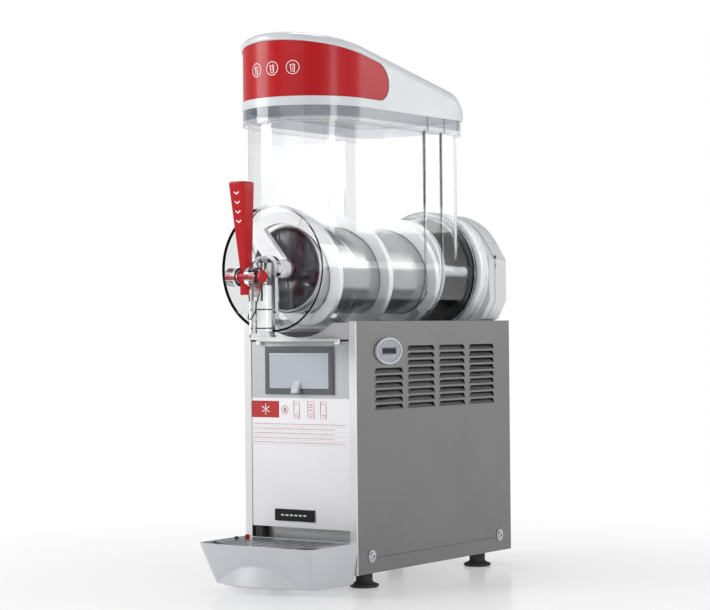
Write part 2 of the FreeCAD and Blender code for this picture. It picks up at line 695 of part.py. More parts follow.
def pipe(name, points, radius):
    """A tube along straight runs joined by tangent arcs."""
    spots = [Vector(*p) for p in points]
    edges, start = [], spots[0]
    for i in range(1, len(spots) - 1):
        before, after = (spots[i - 1] - spots[i]).normalize(), (spots[i + 1] - spots[i]).normalize()
        bend = math.pi - before.getAngle(after)
        shorter = min((spots[i] - spots[i - 1]).Length, (spots[i + 1] - spots[i]).Length)
        reach = 0.45 * shorter
        first, last = spots[i] + before * reach, spots[i] + after * reach
        arc_radius = reach / math.tan(bend / 2)
        middle = (before + after).normalize()
        centre = spots[i] + middle * math.hypot(arc_radius, reach)
        edges += [Part.LineSegment(start, first).toShape(),
                  Part.Arc(first, centre - middle * arc_radius, last).toShape()]
        start = last
    edges.append(Part.LineSegment(start, spots[-1]).toShape())
    path = Part.Wire(edges)
    ring = Part.Wire([Part.makeCircle(radius, spots[0], spots[1] - spots[0])])
    return feature(name, path.makePipeShell([ring], True, False))


# ---------------------------------------------------------------- drum, mixer and drive

def drum():
    """Chilled drum with a tube through it for the mixer's shaft, its bushes and the coil inside."""
    wall = "drum_radius - 1.5"
    profile = [("drum_nose_y", "shaft_radius + 5"), ("drum_nose_y", "drum_radius - 8"),
               ("drum_nose_y + 2.5", "drum_radius - 2.5"), ("drum_nose_y + 8", "drum_radius"),
               ("drum_tail_y", "drum_radius"), ("drum_tail_y", wall), ("drum_nose_y + 9", wall),
               ("drum_nose_y + 3", "drum_radius - 9"), ("drum_nose_y + 3", "shaft_radius + 5")]
    tube = [("drum_nose_y", "shaft_radius + 1.6"), ("drum_nose_y", "shaft_radius + 5"),
            ("drum_tail_y", "shaft_radius + 5"), ("drum_tail_y", "shaft_radius + 1.6")]
    subpart("evaporator_drum", fuse("drum_welded", turned_on_y("drum_shell", profile),
                                    turned_on_y("shaft_tube", tube)))
    bushes = [turned_on_y(f"bush_{i}", [(low, "shaft_radius + 0.05"), (low, "shaft_radius + 1.6"),
                                        (high, "shaft_radius + 1.6"), (high, "shaft_radius + 0.05")])
              for i, (low, high) in enumerate((("drum_nose_y + 0.5", "drum_nose_y + 16"),
                                               ("drum_tail_y - 16", "drum_tail_y - 0.5")))]
    subpart("shaft_bushes", pack("shaft_bush_pair", *bushes))
    helix = Part.makeHelix(24, 288, value("drum_radius") - 7)
    ring = Part.Wire([Part.makeCircle(4.5, Vector(value("drum_radius") - 7, 0, 0), Vector(0, 1, 0))])
    coil = Part.Wire(helix).makePipeShell([ring], True, True)
    item = feature("coil_body", coil)
    place(item, "0", "front + 20", "axis", turn=TURNS["y"])
    subpart("evaporator_coil", item)


def sector(name, inner, outer, y, first, last):
    """Part of a ring round the drum axis, from one angle to another, +X towards +Z, in degrees."""
    ring = Part.makeCylinder(outer, y[1] - y[0], Vector(), Vector(0, 0, 1), last - first)
    hole = Part.makeCylinder(inner, y[1] - y[0], Vector(), Vector(0, 0, 1))
    shape = ring.cut(hole)
    shape.rotate(Vector(), Vector(0, 0, 1), -last)
    shape.rotate(Vector(), Vector(1, 0, 0), -90)
    return feature(name, shape, y=f"front + ({y[0]})", z="axis")


def mixer():
    """Spiral blade with its front arm, the mixing posts behind it, the nut and the drive shaft."""
    pitch, thick = value("blade_pitch"), value("blade_thick")
    root, tip = value("blade_root"), value("blade_radius")
    start, end = value("blade_start_y"), value("blade_end_y")
    middle = (root + tip) / 2
    helix = Part.makeHelix(pitch, end - start, middle)
    section = Part.makePolygon([Vector(root, 0, -thick / 2), Vector(tip, 0, -thick / 2),
                                Vector(tip, 0, thick / 2),
                                Vector(root, 0, thick / 2), Vector(root, 0, -thick / 2)])
    blade = Part.Wire(helix).makePipeShell([section], True, True)
    phase = 360 * (value("blade_side_y") - start) / pitch
    blade.rotate(Vector(), Vector(0, 0, 1), -phase)
    blade.rotate(Vector(), Vector(1, 0, 0), -90)
    spiral = feature("blade", blade, y="front + blade_start_y", z="axis")

    lead = sector("blade_lead", root + 0.4, tip - 0.4, (start - thick / 2, start + thick / 2), phase - 12,
                  value("arm_angle") + 9)
    arm = doc.addObject("Part::Box", "arm")
    bind(arm, Length="blade_radius - 9", Width="blade_thick", Height="arm_wide")
    slope = Rotation(Vector(0, 1, 0), -value("arm_angle"))
    corner = slope.multVec(Vector(8, 0, -value("arm_wide") / 2))
    place(arm, f"{corner.x:.4f}", "front + blade_start_y - blade_thick / 2", f"axis + {corner.z:.4f}",
          turn=slope)
    arm_round = drum_rod("arm_round", "blade_radius", ("blade_start_y - 6", "blade_start_y + 6"))
    disc = drum_rod("arm_disc", "13", ("blade_start_y - blade_thick / 2", "blade_start_y + blade_thick / 2"))
    bore = drum_rod("arm_bore", "shaft_radius", ("blade_start_y - 10", "blade_start_y + 10"))
    boss = cut("arm_boss", fuse("arm_joined", common("arm_trimmed", arm, arm_round), disc), bore)
    heel = drum_rod("blade_heel_outer", "blade_radius - 0.5", ("blade_end_y", "blade_end_y + 5.5"))
    heel_hole = drum_rod("blade_heel_hole", "blade_root + 0.5", ("blade_end_y - 1", "blade_end_y + 6"))
    subpart("auger", fuse("auger_solid", spiral, lead, boss, cut("blade_heel", heel, heel_hole)))

    rim = cut("post_ring",
              drum_rod("post_ring_outer", "blade_radius", ("blade_end_y + 5.5", "blade_end_y + 13")),
              drum_rod("post_ring_hole", "blade_root", ("blade_end_y", "blade_end_y + 20")))
    posts, caps = [], []
    for i in range(3):
        angle = math.radians(120 * i)
        spot = (f"post_orbit * {math.cos(angle):.6f}", f"axis + post_orbit * {math.sin(angle):.6f}")
        length = ("front + blade_end_y + 10", "front + cap_start_y")
        posts.append(rod(f"post_{i}", "y", "post_radius", length, spot))
        caps.append(rod(f"post_cap_{i}", "y", "cap_radius", ("front + cap_start_y", "front + cap_end_y"),
                        spot))
    subpart("mixing_posts", fuse("post_solid", rim, *posts))
    subpart("post_caps", pack("post_cap_set", *caps))

    knob = [("-58", "0"), ("-58", "4.5"), ("-56.5", "6"), ("-52", "6"), ("-52", "11"), ("-50", "13"),
            ("blade_start_y - blade_thick / 2", "13"), ("blade_start_y - blade_thick / 2", "0")]
    subpart("mixer_nut", turned_on_y("mixer_nut_body", knob))
    shaft = [("blade_start_y - blade_thick / 2", "0"),
             ("blade_start_y - blade_thick / 2", "shaft_radius - 0.02"),
             ("gear_y + gear_wide + 9", "shaft_radius - 0.02"), ("gear_y + gear_wide + 9", "0")]
    subpart("drive_shaft", turned_on_y("drive_shaft_body", shaft))


def gear(name, teeth, bore, turn):
    """An involute spur gear on the Y axis, turned by some degrees so that a pair meshes."""
    from fcgear import fcgear, involute
    builder = fcgear.FCWireBuilder()
    involute.CreateExternalGear(builder, value("gear_module"), teeth, 20, True)
    flat = Part.Wire([edge.toShape() if hasattr(edge, "toShape") else edge for edge in builder.wire])
    solid = Part.Face(flat).extrude(Vector(0, 0, value("gear_wide")))
    solid = solid.cut(Part.makeCylinder(bore, value("gear_wide")))
    solid.rotate(Vector(), Vector(0, 0, 1), turn)
    solid.rotate(Vector(), Vector(1, 0, 0), -90)
    return feature(name, solid)


def drive():
    """Output gear on the mixer shaft, and the gear motor's pinion under it."""
    distance = "gear_module * (gear_teeth + pinion_teeth) / 2 + gear_gap"
    big = gear("output_gear_body", int(value("gear_teeth")), value("shaft_radius"), 0)
    place(big, "0", "front + gear_y", "axis")
    subpart("output_gear", big)
    small = gear("pinion_body", int(value("pinion_teeth")), 4.0, 180 / value("pinion_teeth"))
    place(small, "0", "front + gear_y", f"axis - ({distance})")
    spindle = rod("pinion_shaft", "y", "4", ("front + gear_y", "front + gear_y + gear_wide + 6"),
                  ("0", f"axis - ({distance})"))
    subpart("motor_pinion", fuse("pinion_solid", small, spindle))
    plate = block("gear_plate_sheet", ("-62", "62"),
                  ("front + housing_split_y", "front + housing_split_y + 2.5"),
                  ("deck + 2.2", "axis + 60"))
    holes = [rod("gear_plate_top", "y", "shaft_radius + 0.6", ("front + 370", "front + 390"), ("0", "axis")),
             rod("gear_plate_low", "y", "4.6", ("front + 370", "front + 390"), ("0", f"axis - ({distance})"))]
    subpart("gear_plate", cut("gear_plate_cut", plate, *holes))
    can = rod("motor_can", "y", "motor_radius", ("front + housing_split_y + 2.5", "front + 406"),
              ("0", f"axis - ({distance}) + motor_rise"))
    way = rod("motor_way", "y", "4.6", ("front + 370", "front + 384"), ("0", f"axis - ({distance})"))
    subpart("gear_motor", cut("motor_cut", can, way))


# ---------------------------------------------------------------- gear housing

def housing_prism(name, grow, y):
    """Housing outline: a half-round top, straight shoulders, and sides that turn in at the foot."""
    half = f"housing_half + {grow}"
    shoulder = "axis + 20"
    body = padded(name + "_body", "XZ_Plane",
                  [(f"-(70 + {grow})", "deck - 1"), (f"70 + {grow}", "deck - 1"),
                   (f"81 + {grow}", "deck + 3"),
                   (half, "deck + 31"), (half, shoulder), (f"81 + {grow}", "deck + 120"),
                   (f"-(81 + {grow})", "deck + 120"), (f"-({half})", shoulder), (f"-({half})", "deck + 31"),
                   (f"-(81 + {grow})", "deck + 3")],
                  f"({y[1]}) - ({y[0]})", y=f"front + {y[1]}")
    dome = rod(name + "_dome", "y", f"92.5 + {grow}", (f"front + {y[0]}", f"front + {y[1]}"), ("0", "axis"))
    above = block(name + "_above", ("-200", "200"), ("front", "front + 600"), ("deck - 1", "deck + 400"))
    return fuse(name, body, common(name + "_dome_cut", dome, above))


def housing():
    """Front half of the housing, its rear cover, the black dish, and the bowl's and shaft's seals."""
    inner = cut("housing_front_inner",
                housing_prism("front_inside", "-3", ("housing_y + 3", "housing_split_y + 1")),
                block("front_floor", ("-200", "200"), ("front + 300", "front + 500"),
                      ("deck - 2", "deck + 2")))
    ring = cut("housing_front_shell", housing_prism("housing_front", "0", ("housing_y", "housing_split_y")),
               inner)
    way = drum_rod("housing_way", "shaft_radius + 0.6", ("housing_y - 5", "housing_y + 10"))
    pipe_way = rod("housing_pipe_way", "z", "6", ("deck - 5", "deck + 5"), ("suction_x", "front + suction_y"))
    subpart("gear_housing", cut("gear_housing_cut", ring, way))
    inner = cut("cover_inner",
                housing_prism("cover_inside", "-3", ("housing_split_y - 1", "housing_end_y - 3")),
                block("cover_floor", ("-200", "200"), ("front + 300", "front + 500"),
                      ("deck - 2", "deck + 2")))
    cover = cut("rear_cover_cut", housing_prism("cover_outside", "0", ("housing_split_y", "housing_end_y")),
                inner, pipe_way)
    subpart("rear_cover", cover)
    dish = [("housing_y - 14", "20"), ("housing_y - 14", "drum_radius - 1.6"),
            ("drum_tail_y", "drum_radius - 1.6"),
            ("drum_tail_y", "70"), ("drum_tail_y + 3", "83.8"), ("housing_y", "83.8"), ("housing_y", "20")]
    subpart("rear_dish", turned_on_y("rear_dish_body", dish))
    gasket = [("housing_y - 13", "84"), ("housing_y - 13", "90"), ("housing_y - 11.5", "92.3"),
              ("housing_y - 5.2", "92.3"), ("housing_y - 5", "95"), ("housing_y - 0.1", "95"),
              ("housing_y - 0.1", "84")]
    subpart("bowl_gasket", turned_on_y("bowl_gasket_body", gasket))
    seal = [("housing_y - 17", "shaft_radius + 0.1"), ("housing_y - 17", "shaft_radius + 5"),
            ("housing_y - 14", "19.8"), ("housing_y - 2", "19.8"), ("housing_y - 2", "shaft_radius + 0.1")]
    subpart("shaft_seal", turned_on_y("shaft_seal_body", seal))


# ---------------------------------------------------------------- bowl and tap

def bowl():
    """Clear bowl: a barrel over the drum, a hopper above it, and the tap body on its front."""
    z_out = ("axis", "deck + rim_low_z + 3")
    outer = fuse("bowl_outer", drum_rod("barrel_out", "bowl_radius", ("bowl_nose_y", "collar_start_y + 4")),
                 drum_rod("collar_out", "collar_radius", ("collar_start_y", "bowl_tail_y")),
                 rounded_plan("hopper_out", "hopper_half", "hopper_rear_y", "hopper_corner", z_out),
                 rounded_plan("rim_out", "rim_half", "hopper_rear_y + 4.5", "hopper_corner + 4.5",
                              ("deck + rim_low_z", "deck + rim_high_z")))
    ribs = [drum_rod(f"rib_{i}", "bowl_radius + rib_proud", (y, f"{y} + rib_wide")) for i,
            y in enumerate(RIBS)]
    rib_posts = [block(f"rib_post_{i}", ("-bowl_radius - rib_proud", "bowl_radius + rib_proud"),
                       (f"front + {y}", f"front + {y} + rib_wide"), ("axis", "deck + rim_low_z + 1"))
                 for i, y in enumerate(RIBS)]
    tap = fuse("tap_solid", *tap_body())
    inner = fuse("bowl_inner",
                 drum_rod("barrel_in", "bowl_radius - bowl_wall",
                          ("bowl_nose_y + bowl_wall", "collar_start_y + 8")),
                 drum_rod("collar_in", "collar_radius - bowl_wall",
                          ("collar_start_y + bowl_wall", "bowl_tail_y + 1")),
                 rounded_plan("hopper_in", "hopper_half - hopper_wall", "hopper_rear_y - hopper_wall",
                              "hopper_corner - hopper_wall", ("axis", "deck + rim_high_z + 1")),
                 rounded_plan("rim_in", "rim_half - hopper_wall", "hopper_rear_y + 4.5 - hopper_wall",
                              "hopper_corner + 4.5 - hopper_wall",
                              ("deck + rim_low_z + 3.5", "deck + rim_high_z + 1")))
    whole = fuse("bowl_whole", outer, *ribs, *rib_posts, tap)
    subpart("bowl", cut("bowl_cut", cut("bowl_hollow", whole, inner), *tap_openings()))


def tap_body():
    """Outside shapes of the tap: the plunger tube, its flange, the pivot lugs and their arms."""
    y, z = "front + tap_y", "deck"
    tube = rod("tap_tube", "z", "tap_radius", (f"{z} + tap_foot_z", f"{z} + tap_top_z - tap_radius"),
               ("0", y))
    dome = doc.addObject("Part::Sphere", "tap_dome")
    bind(dome, Radius="tap_radius")
    place(dome, "0", y, f"{z} + tap_top_z - tap_radius")
    flange = rod("tap_flange", "z", "19.5", (f"{z} + tap_foot_z", f"{z} + tap_foot_z + 3.5"), ("0", y))
    web = block("tap_web", ("-13", "13"), (y, "front + bowl_nose_y + 1"),
                (f"{z} + tap_foot_z + 8", f"{z} + tap_top_z - 16"))
    boss = drum_rod("bearing_boss", "18", ("bowl_nose_y - 9", "bowl_nose_y + 2"))
    ledge = block("front_ledge", ("-62", "62"), ("front + bowl_nose_y - 5", "front + bowl_nose_y + 1"),
                  (f"{z} + 12", f"{z} + 14.6"))
    fin = block("spring_fin", ("-2.4", "2.4"), ("front - 109", y), (f"{z} + tap_foot_z + 6", f"{z} + 28"))
    shapes = [tube, dome, flange, web, boss, ledge, fin]
    for side, sign in (("right", ""), ("left", "-")):
        low, high = ("lug_in", "lug_out") if sign == "" else ("-lug_out", "-lug_in")
        shapes.append(rod(f"lug_{side}", "x", "lug_radius", (low, high),
                          ("front + pivot_y", f"{z} + pivot_z")))
        low, high = ("lug_in", "lug_in + 6") if sign == "" else ("-lug_in - 6", "-lug_in")
        shapes.append(block(f"lug_arm_{side}", (low, high), ("front + pivot_y", f"{y} - 4"),
                            (f"{z} + pivot_z - 10", f"{z} + pivot_z + 10")))
    return shapes


def tap_openings():
    """Plunger bore, the slot for the lever's arm, the way in from the bowl, the pin holes and the bearing."""
    y, z = "front + tap_y", "deck"
    bore = rod("tap_bore_hole", "z", "tap_bore", (f"{z} + tap_foot_z - 1", f"{z} + tap_top_z - 10"), ("0", y))
    slot = block("lever_slot", ("-lug_in", "lug_in"), ("front + pivot_y - 14", f"{y} - 2"),
                 (f"{z} + 29", f"{z} + tap_top_z - 10"))
    inlet = block("tap_inlet", ("-10.5", "10.5"), (y, "front + bowl_nose_y + bowl_wall + 1"),
                  (f"{z} - 8", f"{z} + 10"))
    pin = rod("pin_hole", "x", "pin_radius + 0.1", ("-lug_out - 1", "lug_out + 1"),
              ("front + pivot_y", f"{z} + pivot_z"))
    bearing = drum_rod("bearing_hole", "6.3", ("bowl_nose_y - 5", "bowl_nose_y + 6"))
    return bore, slot, inlet, pin, bearing


def tap_parts():
    """Plunger with its rings, the lever that lifts it, the lever's pin and the wire spring."""
    y, z = "front + tap_y", "deck"
    pivot = ("front + pivot_y", "deck + pivot_z")
    reach = "(tap_y - pivot_y) / cos(swing / 2 * 1deg)"
    rest_z = "deck + pivot_z - (tap_y - pivot_y) * tan(swing / 2 * 1deg)"
    piston = [("0", "-14"), ("12", "-14"), ("13", "-12.5"), ("13", "-10.3"), ("11.3", "-10.3"),
              ("11.3", "-8.1"),
              ("13", "-8.1"), ("13", "16"), ("11.3", "16"), ("11.3", "18.2"), ("13", "18.2"), ("13", "27"),
              ("13", "49"), ("11", "51"), ("0", "51")]
    stem = turned_on_z("piston_body", piston, "0", y, z)
    mouth = block("piston_mouth", ("-7.9", "7.9"), (f"{y} - 15", f"{y} - 4"),
                  (f"{rest_z} - 13", f"{rest_z} + 14"))
    seat = block("piston_seat", ("-7.9", "7.9"), (f"{y} - 6", f"{y} + 9.6"),
                 (f"{rest_z} - 5.6", f"{rest_z} + 5.6"))
    subpart("tap_plunger", cut("plunger", stem, mouth, seat))
    rings = []
    for i, height in enumerate(("-9.2", "17.1")):
        ring = doc.addObject("Part::Torus", f"plunger_ring_{i}")
        bind(ring, Radius1="12.2", Radius2="0.88")
        rings.append(place(ring, "0", y, f"{z} + {height}"))
    subpart("plunger_rings", pack("plunger_ring_pair", *rings))

    grip = doc.addObject("Part::Wedge", "lever_grip")
    # the wedge's own Y runs up the lever and its Z forwards, once it is turned upright
    bind(grip, Ymin="0", Ymax="129", Xmin="-5.6", Xmax="5.6", Zmin="-6", Zmax="5", X2min="-13", X2max="13",
         Z2min="-2", Z2max="18")
    place(grip, "0", "front + pivot_y", "deck + pivot_z", turn=Rotation(Vector(1, 0, 0), 90))
    hub = rod("lever_hub", "x", "9", ("-lever_half", "lever_half"), pivot)
    toe = padded("lever_toe", "YZ_Plane",
                 [("-4.5", "-6"), ("-4.5", "-25"), ("1.5", "-25"), ("9.5", "-12"), ("6", "-4")],
                 "10", x="-5", y=pivot[0], z=pivot[1])
    arm = doc.addObject("Part::Box", "lever_arm")
    bind(arm, Length="12", Width=reach, Height="5.6")
    turn = Rotation(Vector(1, 0, 0), -value("swing") / 2)
    corner = turn.multVec(Vector(0, 0, -2.8))
    place(arm, "-6", f"front + pivot_y + {corner.y:.4f}", f"deck + pivot_z + {corner.z:.4f}", turn=turn)
    tip = rod("lever_tip", "x", "5.2", ("-6", "6"), (y, rest_z))
    bore = rod("lever_bore", "x", "pin_radius + 0.05", ("-20", "20"), pivot)
    subpart("tap_lever", cut("lever_solid", fuse("lever_joined", grip, hub, toe, arm, tip), bore))

    pin = rod("pin_shank", "x", "pin_radius", ("-lug_out - 2", "lug_out + 1"), pivot)
    head = rod("pin_head", "x", "9.2", ("lug_out + 0.6", "lug_out + 8"), pivot)
    subpart("lever_pin", fuse("lever_pin_solid", pin, head))

    subpart("tap_spring", feature("spring_wire", spring_shape()))


def spring_shape():
    """Hairpin wire spring: hooked under the fin, both legs rising beside it to the lever's toe."""
    base_y, base_z = value("front"), value("deck")
    legs = [(-4.6, -111.5, 34), (-4.0, -112.5, 24), (-4.0, -112.0, 12), (-4.0, -114.0, 4),
            (4.0, -114.0, 4), (4.0, -112.0, 12), (4.0, -112.5, 24), (4.6, -111.5, 34)]
    spots = [Vector(x, base_y + y, base_z + z) for x, y, z in legs]
    wire = Part.makePolygon(spots)
    ring = Part.Wire([Part.makeCircle(0.9, spots[0], spots[1] - spots[0])])
    return wire.makePipeShell([ring], True, False, 1)


# ---------------------------------------------------------------- lid

def lid_solid(name, inset, base):
    """The lid's outside, or its inside when inset: the bowl's plan under a top that falls to the back."""
    plan = rounded_plan(name + "_plan", f"lid_half - {inset}", f"lid_rear_y - {inset}",
                        f"lid_corner - {inset}",
                        (base, "deck + lid_front_z + 30"))
    profile = padded(name + "_profile", "YZ_Plane",
                     [("-90", "lid_base_z - 30"), (f"lid_rear_y - {inset} + 6", "lid_base_z - 30"),
                      (f"lid_rear_y - {inset} + 2", "lid_base_z"),
                      (f"lid_break_y - {inset} * 0.6", f"lid_back_z - {inset}"),
                      ("-90", f"lid_front_z + 5 - {inset}")],
                     "300", x="-150", y="front", z="deck")
    return common(name, plan, profile)


def graphic_band(name, outer, core):
    """A band that follows the lid's front and sides between two half widths, in the red panel's outline."""
    top = "lid_front_z - graphic_drop"
    zone = padded(name + "_zone", "YZ_Plane",
                  [("-90", "graphic_low_z"), ("graphic_end_y - 18", "graphic_low_z"),
                   ("graphic_end_y", "graphic_low_z + 16"), ("graphic_end_y", "graphic_low_z + 34"),
                   ("graphic_end_y - 22", f"{top} - 26"), ("-66", top), ("-90", top)],
                  "300", x="-150", y="front", z="deck")
    outside = rounded_plan(name + "_outer", outer, "lid_rear_y", "lid_corner", ("deck + 300", "deck + 420"))
    inside = rounded_plan(name + "_core", core, "lid_rear_y - 20", "lid_corner", ("deck + 299", "deck + 421"))
    return common(name, cut(name + "_ring", outside, inside), zone)


def lid():
    """Lid shell with a sunk red panel round its front, a plate that closes it below and a lamp board."""
    shell = cut("lid_hollow", lid_solid("lid_outer", "0", "deck + lid_base_z"),
                lid_solid("lid_inner", "lid_wall", "deck + lid_base_z - 1"))
    seat = "lid_half - graphic_sunk - graphic_thick"
    subpart("lid_shell", cut("lid_recessed", shell, graphic_band("graphic_recess", "lid_half + 1", seat)))
    subpart("lid_graphic", graphic_band("graphic_panel", "lid_half - graphic_sunk", seat))
    plate = rounded_plan("lid_plate_solid", "lid_half - lid_wall - 0.3", "lid_rear_y - lid_wall - 0.6",
                         "lid_corner - 3", ("deck + lid_base_z + 0.2", "deck + lid_base_z + 2.2"))
    subpart("lid_plate", plate)
    board = block("lamp_board", ("-46", "46"), ("front - 20", "front - 16"),
                  ("deck + lid_base_z + 2.2", "deck + 380"))
    lamps = [rod(f"lamp_{i}_{j}", "y", "2.5", ("front - 23", "front - 20"),
                 (f"18 * {i} - 36", f"deck + 330 + 22 * {j}"))
             for i in range(5) for j in range(3)]
    subpart("lid_lamp", fuse("lamp_solid", board, *lamps))


# ---------------------------------------------------------------- drip tray

def tray_profile(name, top_half, low_half, nose, low_nose, z_low, z_top):
    """A tray body that narrows downwards, with its back face square to the cabinet."""
    tray = doc.addObject("Part::Wedge", name)
    # the wedge's own Y runs up the tray and its Z forwards, once it is turned upright
    bind(tray, Ymin="0", Ymax=f"({z_top}) - ({z_low})", Xmin=f"-({low_half})", Xmax=low_half, Zmin="1",
         Zmax=f"-({low_nose})", X2min=f"-({top_half})", X2max=top_half, Z2min="1", Z2max=f"-({nose})")
    return place(tray, "0", "front", z_low, turn=Rotation(Vector(1, 0, 0), 90))


def drip_tray():
    """Open tray with a bowed front that hooks over the cabinet's brackets, its grille and its float."""
    outer = tray_profile("tray_outer", "tray_half", "tray_low_half", "tray_nose_y", "tray_low_nose_y",
                         "tray_low", "tray_top")
    bow = ("0", "front + tray_bow_y")
    rounds = common("tray_rounds",
                    block("tray_span", ("-body_half - 10", "body_half + 10"), ("front - 130", "front"),
                          ("0", "tray_top + 1")),
                    rod("tray_round", "z", "tray_bow", ("0", "tray_top + 1"), bow))
    body = common("tray_body", outer, rounds)
    inner = tray_profile("tray_inner", "tray_half - tray_wall", "tray_low_half - tray_wall",
                         "tray_nose_y + tray_wall",
                         "tray_low_nose_y + tray_wall", "tray_low + tray_wall", "tray_top + 0.01")
    inner_round = rod("tray_inner_round", "z", "tray_bow - tray_wall", ("0", "tray_top + 2"), bow)
    hollow = common("tray_hollow", inner, inner_round)
    back = block("tray_back_cut", ("-200", "200"), ("front - tray_wall - 1", "front + 1"),
                 ("0", "tray_top + 2"))
    tongue = [block(f"tray_hook_{i}", span, ("front - 3", "front + 11"),
                    ("bracket_top + 0.2", "tray_top - 4"))
              for i, span in enumerate(TRAY_BRACKETS)]
    subpart("drip_tray",
            fuse("tray_solid", cut("tray_open", body, cut("tray_hollow_cut", hollow, back)), *tongue))
    plate = tray_profile("grille_plate", "tray_half - tray_wall - 1", "tray_half - tray_wall - 1.4",
                         "tray_nose_y + tray_wall + 1", "tray_nose_y + tray_wall + 1.6", "tray_top - 3.2",
                         "tray_top - 0.8")
    grille_round = common("grille_trim", plate,
                          rod("grille_round", "z", "tray_bow - tray_wall - 1", ("0", "100"), bow))
    trim = block("grille_back", ("-200", "200"), ("front - tray_wall - 1.6", "front + 20"), ("0", "100"))
    slots = [block(f"grille_slot_{i}_{j}", (f"23 * {i} - 80", f"23 * {i} - 62"),
                   (f"front + 10 * {j} - 100", f"front + 10 * {j} - 96"), ("60", "72"))
             for i in range(7) for j in range(9)]
    float_way = rod("float_way", "z", "4.2", ("60", "72"), ("float_x", "front + float_y"))
    island = block("grille_island", ("float_x - 9", "float_x + 9"),
                   ("front + float_y - 9", "front + float_y + 9"),
                   ("59", "73"))
    slot_set = cut("grille_slots", pack("grille_slot_set", *slots), island)
    subpart("drip_grille", cut("grille", grille_round, trim, slot_set, float_way))
    bob = [("0", "0"), ("12", "0"), ("12", "14"), ("3.4", "16"), ("3.4", "60"), ("2.6", "61.5"),
           ("0", "61.5")]
    float_body = turned_on_z("float_body", bob, "float_x", "front + float_y", "tray_low + tray_wall + 0.1")
    subpart("float_indicator", float_body)


# ---------------------------------------------------------------- build, check and write

for side, sign in (("right", 1), ("left", -1)):
    side_panel(side, sign, sign > 0)
front_panels()
rear_panel()
base_pan()
feet()
top_tray()
control_panel()
badges()
display()
screws()
compressor()
condenser()
fan()
services()
drum()
mixer()
drive()
housing()
bowl()
tap_parts()
lid()
drip_tray()
doc.recompute()

failed = [item.Label for item in doc.Objects if {"Invalid", "Error"} & set(item.State)]
failed += [item.Label for item in SUBPARTS if item.Shape.isNull() or not item.Shape.isValid()]
if failed:
    raise SystemExit(f"these did not build: {failed}")

for item in SUBPARTS:
    item.Shape.exportStep(f"parts/{item.Label}.step")
    print(f"{item.Label:22s} solids {len(item.Shape.Solids):3d}  volume {item.Shape.Volume / 1000:9.2f} cm3")
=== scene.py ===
import json
import math
import random

import bmesh
import bpy
from mathutils import Matrix, Vector

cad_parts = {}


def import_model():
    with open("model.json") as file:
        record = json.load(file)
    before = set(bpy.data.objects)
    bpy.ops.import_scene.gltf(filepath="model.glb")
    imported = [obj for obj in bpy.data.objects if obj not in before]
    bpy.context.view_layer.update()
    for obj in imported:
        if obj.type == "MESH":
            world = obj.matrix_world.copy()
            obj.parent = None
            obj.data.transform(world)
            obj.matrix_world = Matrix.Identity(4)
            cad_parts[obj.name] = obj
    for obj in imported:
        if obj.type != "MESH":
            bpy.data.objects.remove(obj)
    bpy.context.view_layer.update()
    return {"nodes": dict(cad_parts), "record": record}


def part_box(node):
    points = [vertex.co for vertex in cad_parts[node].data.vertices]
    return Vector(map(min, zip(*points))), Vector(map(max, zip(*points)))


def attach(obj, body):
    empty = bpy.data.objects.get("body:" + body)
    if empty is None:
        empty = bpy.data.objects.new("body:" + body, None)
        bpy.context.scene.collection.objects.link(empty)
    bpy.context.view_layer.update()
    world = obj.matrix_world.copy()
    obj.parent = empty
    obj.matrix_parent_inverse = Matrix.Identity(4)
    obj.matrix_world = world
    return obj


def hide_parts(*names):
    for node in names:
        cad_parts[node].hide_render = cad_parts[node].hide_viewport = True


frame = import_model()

nodes = frame["nodes"]
random.seed(7)

MM = 0.001

# ---------------- places read from the frame

panel_low, panel_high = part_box("side_panel_right")
FRONT = panel_low.y      # the cabinet's front face
DECK = panel_high.z      # the cabinet's top edge
lid_low, lid_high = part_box("lid_shell")
LID_HALF = lid_high.x / MM
LID_REAR = (lid_high.y - FRONT) / MM
LID_BASE = (lid_low.z - DECK) / MM
tray_low, tray_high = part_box("drip_tray")
TRAY_TOP = (tray_high.z - DECK) / MM
TRAY_BASE = (tray_low.z - DECK) / MM

# ---------------- places, in mm from front face and top edge

BARREL_Z = 75.0          # axis of the bowl's barrel and of its gasket
RIM_LOW = 287.0          # the bowl's thick rim starts here
RIBS_Y = (193.5, 238.5)  # upright ribs at the back of the hopper
SEAM_Y = 378.0           # joint between gear housing and rear cover
DISC_Y = -26.6           # the drum's black front disc ends here
COLLAR_Y = 261.0         # the drum's black rear collar starts here
BASIN_REACH = 98.0       # radius of the cutout in the basin's front sheet

# ---------------- camera and world

VIEW_TURN, VIEW_PITCH, VIEW_ROLL = 35.76, 0.68, -0.51  # degrees
VIEW_PLACE = (1745.67, -2285.73, -11.02)  # mm from the front face and the top edge
LENS_MM = 101.85
CEILING = 0.2            # how bright reflections see the ceiling
FRONT_SHADE = 0.22       # how bright they see the room behind the camera
INSIDE_GLOW = 2.0        # soft light that has already bounced is boosted by this
AIM = (0, 0, 0.42)       # the lamps point here, metres


def from_front(x, y, z):
    """A point given in millimetres from the cabinet's front face and its top edge."""
    return Vector((x * MM, FRONT + y * MM, DECK + z * MM))


# ---------------- material helpers

def add_node(tree, kind, inputs=None, **settings):
    """A shader node; each input is either another node's output or a value."""
    made = tree.nodes.new("ShaderNode" + kind)
    for key, setting in settings.items():
        setattr(made, key, setting)
    for socket, item in (inputs or {}).items():
        if isinstance(item, bpy.types.NodeSocket):
            tree.links.new(item, made.inputs[socket])
        else:
            made.inputs[socket].default_value = item
    return made


